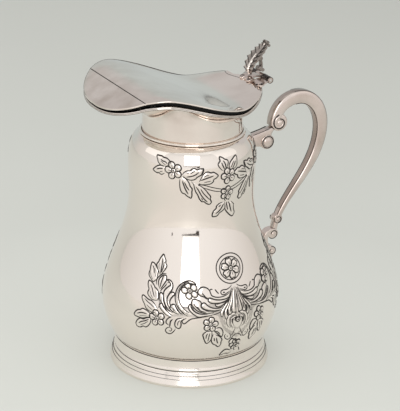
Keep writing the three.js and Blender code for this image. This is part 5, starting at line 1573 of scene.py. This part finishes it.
class Chasing:
    """Gathers shapes drawn flat and laid on the body: pillowed silver and the dark lines round it."""

    def __init__(self, context):
        s = context.scene.jug_chasing
        self.relief, self.line, self.turn = s.relief, s.line, s.turn
        side = belly_outline(context.scene.jug_body, (60, 90, 30, 70))
        keep = np.concatenate([[True], np.diff(side[:, 1]) > 1e-7])
        self.side_z, self.side_r = side[keep, 1], side[keep, 0]
        self.side_slope = np.gradient(self.side_r, self.side_z)
        self.sheets = {"silver": ([], []), "dark": ([], []), "matted": ([], [])}
        self.pillows = []

    def on_body(self, places, height):
        """Places round the body and up it, lifted off it by a height; all in metres."""
        u, z = places[..., 0], places[..., 1]
        r = np.interp(z, self.side_z, self.side_r)
        slope = np.interp(z, self.side_z, self.side_slope)
        steep = np.sqrt(1 + slope * slope)
        angle = self.turn + u / r
        out = r + height / steep
        return np.stack([out * np.sin(angle), -out * np.cos(angle), z - height * slope / steep], axis=-1)

    def lay(self, sheet, places, height, loop=False):
        """Adds rows of places as a closed shell, whose underside is sunk in the body's wall."""
        rows, columns = places.shape[:2]
        verts, faces = self.sheets[sheet]
        start = sum(len(v) for v in verts)
        verts += [self.on_body(places, height).reshape(-1, 3),
                  self.on_body(places, np.full((rows, columns), -0.4 * MM)).reshape(-1, 3)]
        under = rows * columns

        def at(i, j):
            return start + (i % rows) * columns + j

        for i in range(rows if loop else rows - 1):
            for j in range(columns - 1):
                quad = (at(i, j), at(i + 1, j), at(i + 1, j + 1), at(i, j + 1))
                faces.append(quad)
                faces.append(tuple(k + under for k in reversed(quad)))
            for j, way in ((0, 1), (columns - 1, -1)):
                wall = (at(i, j), at(i, j) + under, at(i + 1, j) + under, at(i + 1, j))
                faces.append(wall[::way])
        if not loop:
            for i, way in ((0, -1), (rows - 1, 1)):
                for j in range(columns - 1):
                    wall = (at(i, j), at(i, j) + under, at(i, j + 1) + under, at(i, j + 1))
                    faces.append(wall[::way])

    def pillow_height(self, pillow, places):
        """How high one pillow stands at these places: rounded up from its outline, 0 outside it."""
        outline, lift, relief = pillow
        flat = places.reshape(-1, 2)
        a, b = outline, np.roll(outline, -1, axis=0)
        run = b - a
        gap = flat[:, None] - a
        share = np.clip((gap * run).sum(-1) / np.maximum((run * run).sum(-1), 1e-12), 0, 1)
        distance = np.linalg.norm(gap - share[..., None] * run, axis=-1).min(axis=1)
        crosses = (a[:, 1] > flat[:, None, 1]) != (b[:, 1] > flat[:, None, 1])
        climb = np.where(run[:, 1] == 0, 1e-12, run[:, 1])
        reach = a[:, 0] + run[:, 0] * (flat[:, None, 1] - a[:, 1]) / climb
        inside = (crosses & (flat[:, None, 0] < reach)).sum(axis=1) % 2 == 1
        full = 1 - (1 - np.clip(distance / (1.5 * MM), 0, 1)) ** 2
        return np.where(inside, lift + relief * full, 0).reshape(places.shape[:-1])

    def height_at(self, places):
        """The highest pillow at these places."""
        low, high = places.reshape(-1, 2).min(axis=0), places.reshape(-1, 2).max(axis=0)
        best = np.zeros(places.shape[:-1])
        for pillow in self.pillows:
            if (pillow[0].max(axis=0) > low).all() and (pillow[0].min(axis=0) < high).all():
                best = np.maximum(best, self.pillow_height(pillow, places))
        return best

    def pillow(self, left, right, lift=0.05, rows=22, sheet="silver", relief=1):
        """Raised silver between two edges that run from a base to a tip."""
        left, right = (through(edge, rows) * MM for edge in (left, right))
        outline = np.vstack([left, right[::-1]])
        form = (outline, lift * MM, self.relief * relief)
        across = np.array((0.0, 0.07, 0.2, 0.36, 0.5, 0.64, 0.8, 0.93, 1.0))[:, None]
        places = left[:, None] + (right - left)[:, None] * across
        if sheet == "silver":
            self.pillows.append(form)
        self.lay(sheet, places, self.pillow_height(form, places) + 0.02 * MM)

    def stroke(self, width, path, smooth_steps=0, closed=False):
        """A dark chased line that thins out at both ends and lies over whatever silver is under it."""
        path = through(path, smooth_steps or 4 + 5 * (len(path) - 1)) * MM
        if closed:
            path = path[:-1]
            heading = np.roll(path, -1, axis=0) - np.roll(path, 1, axis=0)
        else:
            heading = np.gradient(path, axis=0)
        heading = heading / np.maximum(np.linalg.norm(heading, axis=1), 1e-9)[:, None]
        aside = np.stack([-heading[:, 1], heading[:, 0]], axis=1)
        share = np.linspace(0, 1, len(path))
        thin = 1 if closed else 0.3 + 0.7 * np.sqrt(np.clip(np.minimum(share, 1 - share) / 0.22, 0, 1))
        half = (self.line * width / 2 * thin * np.ones(len(path)))[:, None, None]
        places = path[:, None] + aside[:, None] * half * np.array((-1.0, -0.4, 0.4, 1.0))[:, None]
        rise = np.array((0.05, 0.12, 0.12, 0.05)) * MM
        self.lay("dark", places, self.height_at(places) + rise, closed)

    def leaf(self, edges, sign=1, width=1.15):
        """A pillow between two rows of whole numbers. Gives the line that goes round it."""
        left, right = (in_millimetres(edge, sign) for edge in edges)
        self.pillow(left, right)
        return width, np.vstack([left, right[-2::-1]])

    def flower(self, centre, radius, turn, petals=5, heart=0.0):
        """Round petals about a small dark eye. Gives the lines that go round them."""
        centre = np.array(centre, float)
        lines = []
        for k in range(petals):
            a = radians(90 + turn + 360 * k / petals)
            way = np.array((cos(a), sin(a)))
            aside = np.array((-way[1], way[0]))
            across = radius * 0.62 * sin(pi / petals)
            edges = []
            for side in (1, -1):
                edge = []
                for t in np.linspace(0, pi, 7):
                    out = 0.6 - 0.38 * cos(t) - heart * exp(-((t - pi) / 0.35) ** 2)
                    edge.append(centre + way * radius * out + side * aside * across * sin(t) ** 0.85)
                edges.append(edge)
            self.pillow(*edges, lift=0.3, rows=13, relief=1.1)
            lines.append((1.1, edges[0] + edges[1][-2::-1]))
            lines.append((0.6, [centre + way * radius * share for share in (0.3, 0.45, 0.62)]))
        return lines

    def eye(self, centre, radius):
        """A dark disc, a domed silver one on it and a dark dot on top."""
        a, r = np.meshgrid(whole(17)[:-1], np.linspace(0.03, 1, 5), indexing="ij")
        circle = np.stack([r * np.cos(a), r * np.sin(a)], axis=-1)
        for size, sheet, lift, dome in ((1.25, "dark", 0.62, 0), (0.75, "silver", 0.66, 0.25),
                                        (0.4, "dark", 0.93, 0)):
            places = (np.array(centre) + circle * radius * size) * MM
            self.lay(sheet, places, lift * MM + dome * MM * (1 - r * r), True)

    def ring(self, centre, across, high, width):
        self.stroke(width, on_circle(centre, across, whole(33), high), 97, True)

    def piece(self, sheet, name):
        verts, faces = self.sheets[sheet]
        return from_faces(name, np.concatenate(verts), faces, 60)


class JUG_OT_chasing(bpy.types.Operator):
    """Raises the chased flowers, leaves and scrolls on the body's two broad faces"""

    bl_idname = "jug.chasing"
    bl_label = "Chased Ornament"

    def execute(self, context):
        near = Chasing(context)
        lines, eyes = [], []
        for sign in (1, -1):
            ground = (in_millimetres(edge, sign) for edge in MATTED)
            near.pillow(*ground, lift=0.02, rows=30, sheet="matted", relief=0)
            lines += [near.leaf(edges, sign) for edges in SIDE_LEAVES]
            lines += [near.leaf(edges, sign, 1.15 * 0.55) for edges in FLUTES]
            for (x, z), radius, turn in SIDE_FLOWERS:
                lines += near.flower((sign * x, z), radius, sign * turn)
                eyes.append(((sign * x, z), radius * 0.26))
            lines += [(width, in_millimetres(row, sign)) for width, *row in SIDE_LINES]
        lines += [near.leaf(edges) for edges in MIDDLE_LEAVES]
        for centre, radius, turn in MIDDLE_FLOWERS:
            lines += near.flower(centre, radius, turn)
            eyes.append((centre, radius * 0.26))
        lines += [(width, in_millimetres(row)) for width, *row in MIDDLE_LINES]
        lines += near.flower(MEDALLION, 8.6, 10, 6, 0.1)
        eyes += [(MEDALLION, 1.9), ((0, 61.2), 1.9)]
        for width, places in lines:
            near.stroke(width, places)
        for centre, radius in eyes:
            near.eye(centre, radius)
        near.ring(MEDALLION, 12.4, 11.5, 1.0)
        near.ring(MEDALLION, 9.5, 8.8, 0.95)
        finishes = {"silver": ("leaves", polished_silver()), "dark": ("lines", tarnish_and_painted_shade()),
                    "matted": ("ground", matted_silver())}
        for sheet, (name, material) in finishes.items():
            piece = near.piece(sheet, f"chased_{name}_near")
            far = mirrored(piece, f"chased_{name}_far")
            settle(piece, material, "jug", "silver")
            settle(far, material, "jug", "silver")
        return {"FINISHED"}


# Inside and underside


class JUG_OT_inside(bpy.types.Operator):
    """Gives the flask, the stopper and the screwed base their materials"""

    bl_idname = "jug.inside"
    bl_label = "Flask, Stopper and Base"

    def execute(self, context):
        c = context.scene.jug_colours
        glass = grained("silvered_glass", c.glass, 0.08, 60, 0.01 * MM, 0.12, 0.9)
        plastic = grained("pale_plastic", c.plastic, 0.42, 700, 0.02 * MM, 0.06)
        cork = grained("pressed_cork", c.cork, 0.85, 420, 0.15 * MM, 0.45)
        rubber, steel = black_rubber(), pin_steel()
        finishes = {
            "stopper_plug": plastic, "stopper_disc": rubber, "stopper_screw": steel, "pouring_liner": plastic,
            "flask_gasket": rubber, "flask_outer_glass": glass, "flask_inner_glass": glass,
            "flask_spacer_1": cork, "flask_spacer_2": cork, "flask_spacer_3": cork, "flask_cushion": cork,
            "base_ring": cast_silver(), "base_cap": polished_silver(),
        }
        for node, finish in finishes.items():
            paint(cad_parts[node], finish)
        return {"FINISHED"}


# Studio


class JUG_OT_stage(bpy.types.Operator):
    """Sets the camera, the pale floor and backdrop, and the soft light"""

    bl_idname = "jug.stage"
    bl_label = "Studio"

    def execute(self, context):
        stage = context.scene.jug_stage
        context.scene.view_settings.view_transform = "Standard"
        self.camera(context, stage)
        self.floor(context)
        self.surroundings(context, stage)
        self.dark_board(stage)
        self.lamps(stage)
        return {"FINISHED"}

    @staticmethod
    def camera(context, stage):
        """Looks down on the jug from in front of its chased face, turned a little towards the spout."""
        deselect_all()
        bpy.ops.object.camera_add()
        camera = context.object
        camera.name = "camera"
        camera.data.sensor_fit = "HORIZONTAL"
        camera.data.sensor_width = 36
        camera.data.lens = stage.lens
        camera.data.clip_start, camera.data.clip_end = 0.05, 30
        pitch, yaw, roll = 0.36879, 0.00557, 0.01697
        stand = (0, -1.3, 0.6371)
        ahead = Vector((sin(yaw) * cos(pitch), cos(yaw) * cos(pitch), -sin(pitch)))
        level = Vector((cos(yaw), -sin(yaw), 0))
        up = level.cross(ahead)
        right = cos(roll) * level + sin(roll) * up
        up = cos(roll) * up - sin(roll) * level
        turn = Matrix.Rotation(VIEW_AZIMUTH, 4, "Z")
        basis = Matrix((right, up, -ahead)).transposed().to_4x4()
        camera.matrix_world = turn @ Matrix.Translation(stand) @ basis
        context.scene.camera = camera

    @staticmethod
    def floor(context):
        """A wide pale paper whose colour carries painted light: lighter in front of the jug than behind it
        and at its sides.
        """
        deselect_all()
        bpy.ops.mesh.primitive_circle_add(vertices=96, radius=2.3, fill_type="NGON", location=(0, 0, 0))
        floor = context.object
        floor.name = "floor"
        base = context.scene.jug_colours.floor
        material, tree, surface, place = shader("paper_with_painted_light", base, 0, 0.62)
        surface.inputs["Specular IOR Level"].default_value = 0.22
        turned_place = tree.add("Mapping", {"Vector": place, "Rotation": (0, 0, -VIEW_AZIMUTH)})
        apart = tree.add("SeparateXYZ", {0: turned_place.outputs["Vector"]}).outputs
        reach = tree.add("VectorMath", {0: place}, operation="LENGTH").outputs["Value"]
        # Painted light: the paper's colour is scaled lighter in front and darker behind and to the right,
        # with a painted pool of light round the foot that thins its shadow, and the front is tinted warmer as
        # by the light.
        shade = tree.ramped(apart["Y"], -0.3, 1.3, 1.16, 0.93)
        for factor in (tree.ramped(apart["Y"], -0.75, -0.95, 1.0, 1.06),
                       tree.ramped(apart["X"], -0.4, 0.5, 1.03, 0.97),
                       tree.ramped(tree.cloud(place, 3, 4), 0.2, 0.8, 0.99, 1.01),
                       tree.ramped(reach, 0.08, 0.32, 1.13, 1.0)):
            shade = tree.maths("MULTIPLY", shade, factor)
        warm_light_tint = (base[0] * 1.09, base[1] * 1.04, base[2] * 1.05, 1)
        paper = tree.mixed(tree.ramped(apart["Y"], -0.1, -0.35), (*base, 1), warm_light_tint)
        tint = tree.add("VectorMath", {0: paper, "Scale": shade}, operation="SCALE")
        tree.give(surface, {"Base Color": tint.outputs[0]})
        paint(floor, material)

    @staticmethod
    def surroundings(context, stage):
        """Plain light all round. Seen directly or in the silver, the room is a pale backdrop behind the jug
        and a lighter, warmer wall in front of it."""
        world = bpy.data.worlds.new("studio")
        world.use_nodes = True
        context.scene.world = world
        tree = Tree(world.node_tree)
        plain = tree.nodes["Background"]
        tree.give(plain, {"Color": (1, 0.985, 0.965, 1), "Strength": stage.daylight})
        way = tree.add("TexCoord").outputs["Generated"]

        def towards(vector, low, high):
            """A mask that grows from 0 to 1 between two cosines of the angle from this direction."""
            dot = tree.add("VectorMath", {0: way, 1: vector}, operation="DOT_PRODUCT")
            return tree.ramped(dot.outputs["Value"], low, high)

        front, above = (sin(VIEW_AZIMUTH), -cos(VIEW_AZIMUTH), 0), (0, 0, 1)
        high_behind = tree.maths("MULTIPLY", towards(front, -0.35, -0.6), towards(above, 0.30, 0.44))
        room = (*stage.side, 1)
        for tone, mask in ((stage.wall, towards(front, -0.75, 0.95)),
                           (stage.backdrop, towards(front, -0.45, -0.85)),
                           (stage.ceiling, towards(above, 0.45, 0.9)), (stage.shade, high_behind)):
            room = tree.mixed(mask, room, (*tone, 1))
        seen = tree.add("Background", {"Color": room})
        rays = tree.add("LightPath").outputs
        shown = rays["Is Camera Ray"]
        for kind in ("Is Glossy Ray", "Is Transmission Ray"):
            shown = tree.maths("MAXIMUM", shown, rays[kind])
        mix = tree.add("MixShader", {0: shown, 1: plain.outputs[0], 2: seen.outputs[0]})
        tree.give(tree.nodes["World Output"], {"Surface": mix.outputs[0]})

    @staticmethod
    def dark_board(stage):
        """The low dark edge that shows as a short bar in the belly. Its corners: (turn, rise) in degrees."""
        away, level = 2.6, 0.115
        verts, faces = [], []
        for corners in (((-15, 2.1), (8, 1.2), (9.5, -0.8), (14, -0.8), (14, 2.8), (-15, 2.8)),
                        ((-32, 0.8), (-30, 0.8), (-30, 2.6), (-32, 2.6))):
            faces.append(tuple(range(len(verts), len(verts) + len(corners))))
            for turn, rise in corners:
                turn, rise = VIEW_AZIMUTH + radians(turn), radians(rise)
                verts.append((away * sin(turn), -away * cos(turn), level + away * tan(rise)))
        board = from_faces("dark_board", verts, faces)
        paint(board, grained("board", stage.board, 0.7, 20, MM))

    @staticmethod
    def lamps(stage):
        """Four softboxes that point at the jug's middle."""
        aim = Vector((0, 0, 0.12))
        # Name, turn and rise in degrees, distance, size, power and tone
        lamps = [
            ("tall_softbox", 0, 21, 2.8, (1.26, 1.75), stage.key, (1, 0.995, 0.985)),
            ("left_softbox", -75, 32, 2.4, (1.8, 1.8), 3, (1, 0.985, 0.96)),
            ("right_softbox", 70, 34, 2.4, (1.8, 1.8), 2, (1, 0.985, 0.96)),
            ("overhead", 0, 76, 2.2, (2.4, 2.4), 4, (1, 1, 1)),
        ]
        for name, turn, rise, far, size, power, tone in lamps:
            deselect_all()
            turn, rise = VIEW_AZIMUTH + radians(turn), radians(rise)
            way = Vector((sin(turn) * cos(rise), -cos(turn) * cos(rise), sin(rise)))
            bpy.ops.object.light_add(type="AREA", location=aim + way * far)
            lamp = bpy.context.object
            lamp.name = name
            lamp.rotation_euler = way.to_track_quat("Z", "Y").to_euler()
            lamp.data.shape = "RECTANGLE"
            lamp.data.size, lamp.data.size_y = size
            lamp.data.energy = power
            lamp.data.color = tone


class JUG_PT_panel(bpy.types.Panel):
    """Lists the steps in the sidebar"""

    bl_idname = "JUG_PT_panel"
    bl_label = "Insulated Jug"
    bl_space_type = "VIEW_3D"
    bl_region_type = "UI"
    bl_category = "Jug"

    def draw(self, context):
        for operator in OPERATORS:
            self.layout.operator(operator.bl_idname)
        for group in ("jug_body", "jug_brim", "jug_handle", "jug_chasing", "jug_colours", "jug_stage"):
            box = self.layout.box()
            settings = getattr(context.scene, group)
            for name in settings.__annotations__:
                box.prop(settings, name)


GROUPS = {"jug_body": JugBodySizes, "jug_brim": JugBrimSizes, "jug_handle": JugHandleSizes,
          "jug_chasing": JugChasingSizes, "jug_colours": JugColours, "jug_stage": JugStage}
OPERATORS = (JUG_OT_body, JUG_OT_chasing, JUG_OT_brim, JUG_OT_lid, JUG_OT_hinge, JUG_OT_thumbpiece,
             JUG_OT_handle, JUG_OT_brackets, JUG_OT_inside, JUG_OT_stage)


def register():
    for name, group in GROUPS.items():
        bpy.utils.register_class(group)
        setattr(bpy.types.Scene, name, PointerProperty(type=group))
    for operator in OPERATORS:
        bpy.utils.register_class(operator)
    bpy.utils.register_class(JUG_PT_panel)


def unregister():
    bpy.utils.unregister_class(JUG_PT_panel)
    for operator in reversed(OPERATORS):
        bpy.utils.unregister_class(operator)
    for name, group in GROUPS.items():
        delattr(bpy.types.Scene, name)
        bpy.utils.unregister_class(group)


def main():
    register()
    for step in OPERATORS:
        space, name = step.bl_idname.split(".")
        getattr(getattr(bpy.ops, space), name)()


if __name__ == "__main__":
    main()
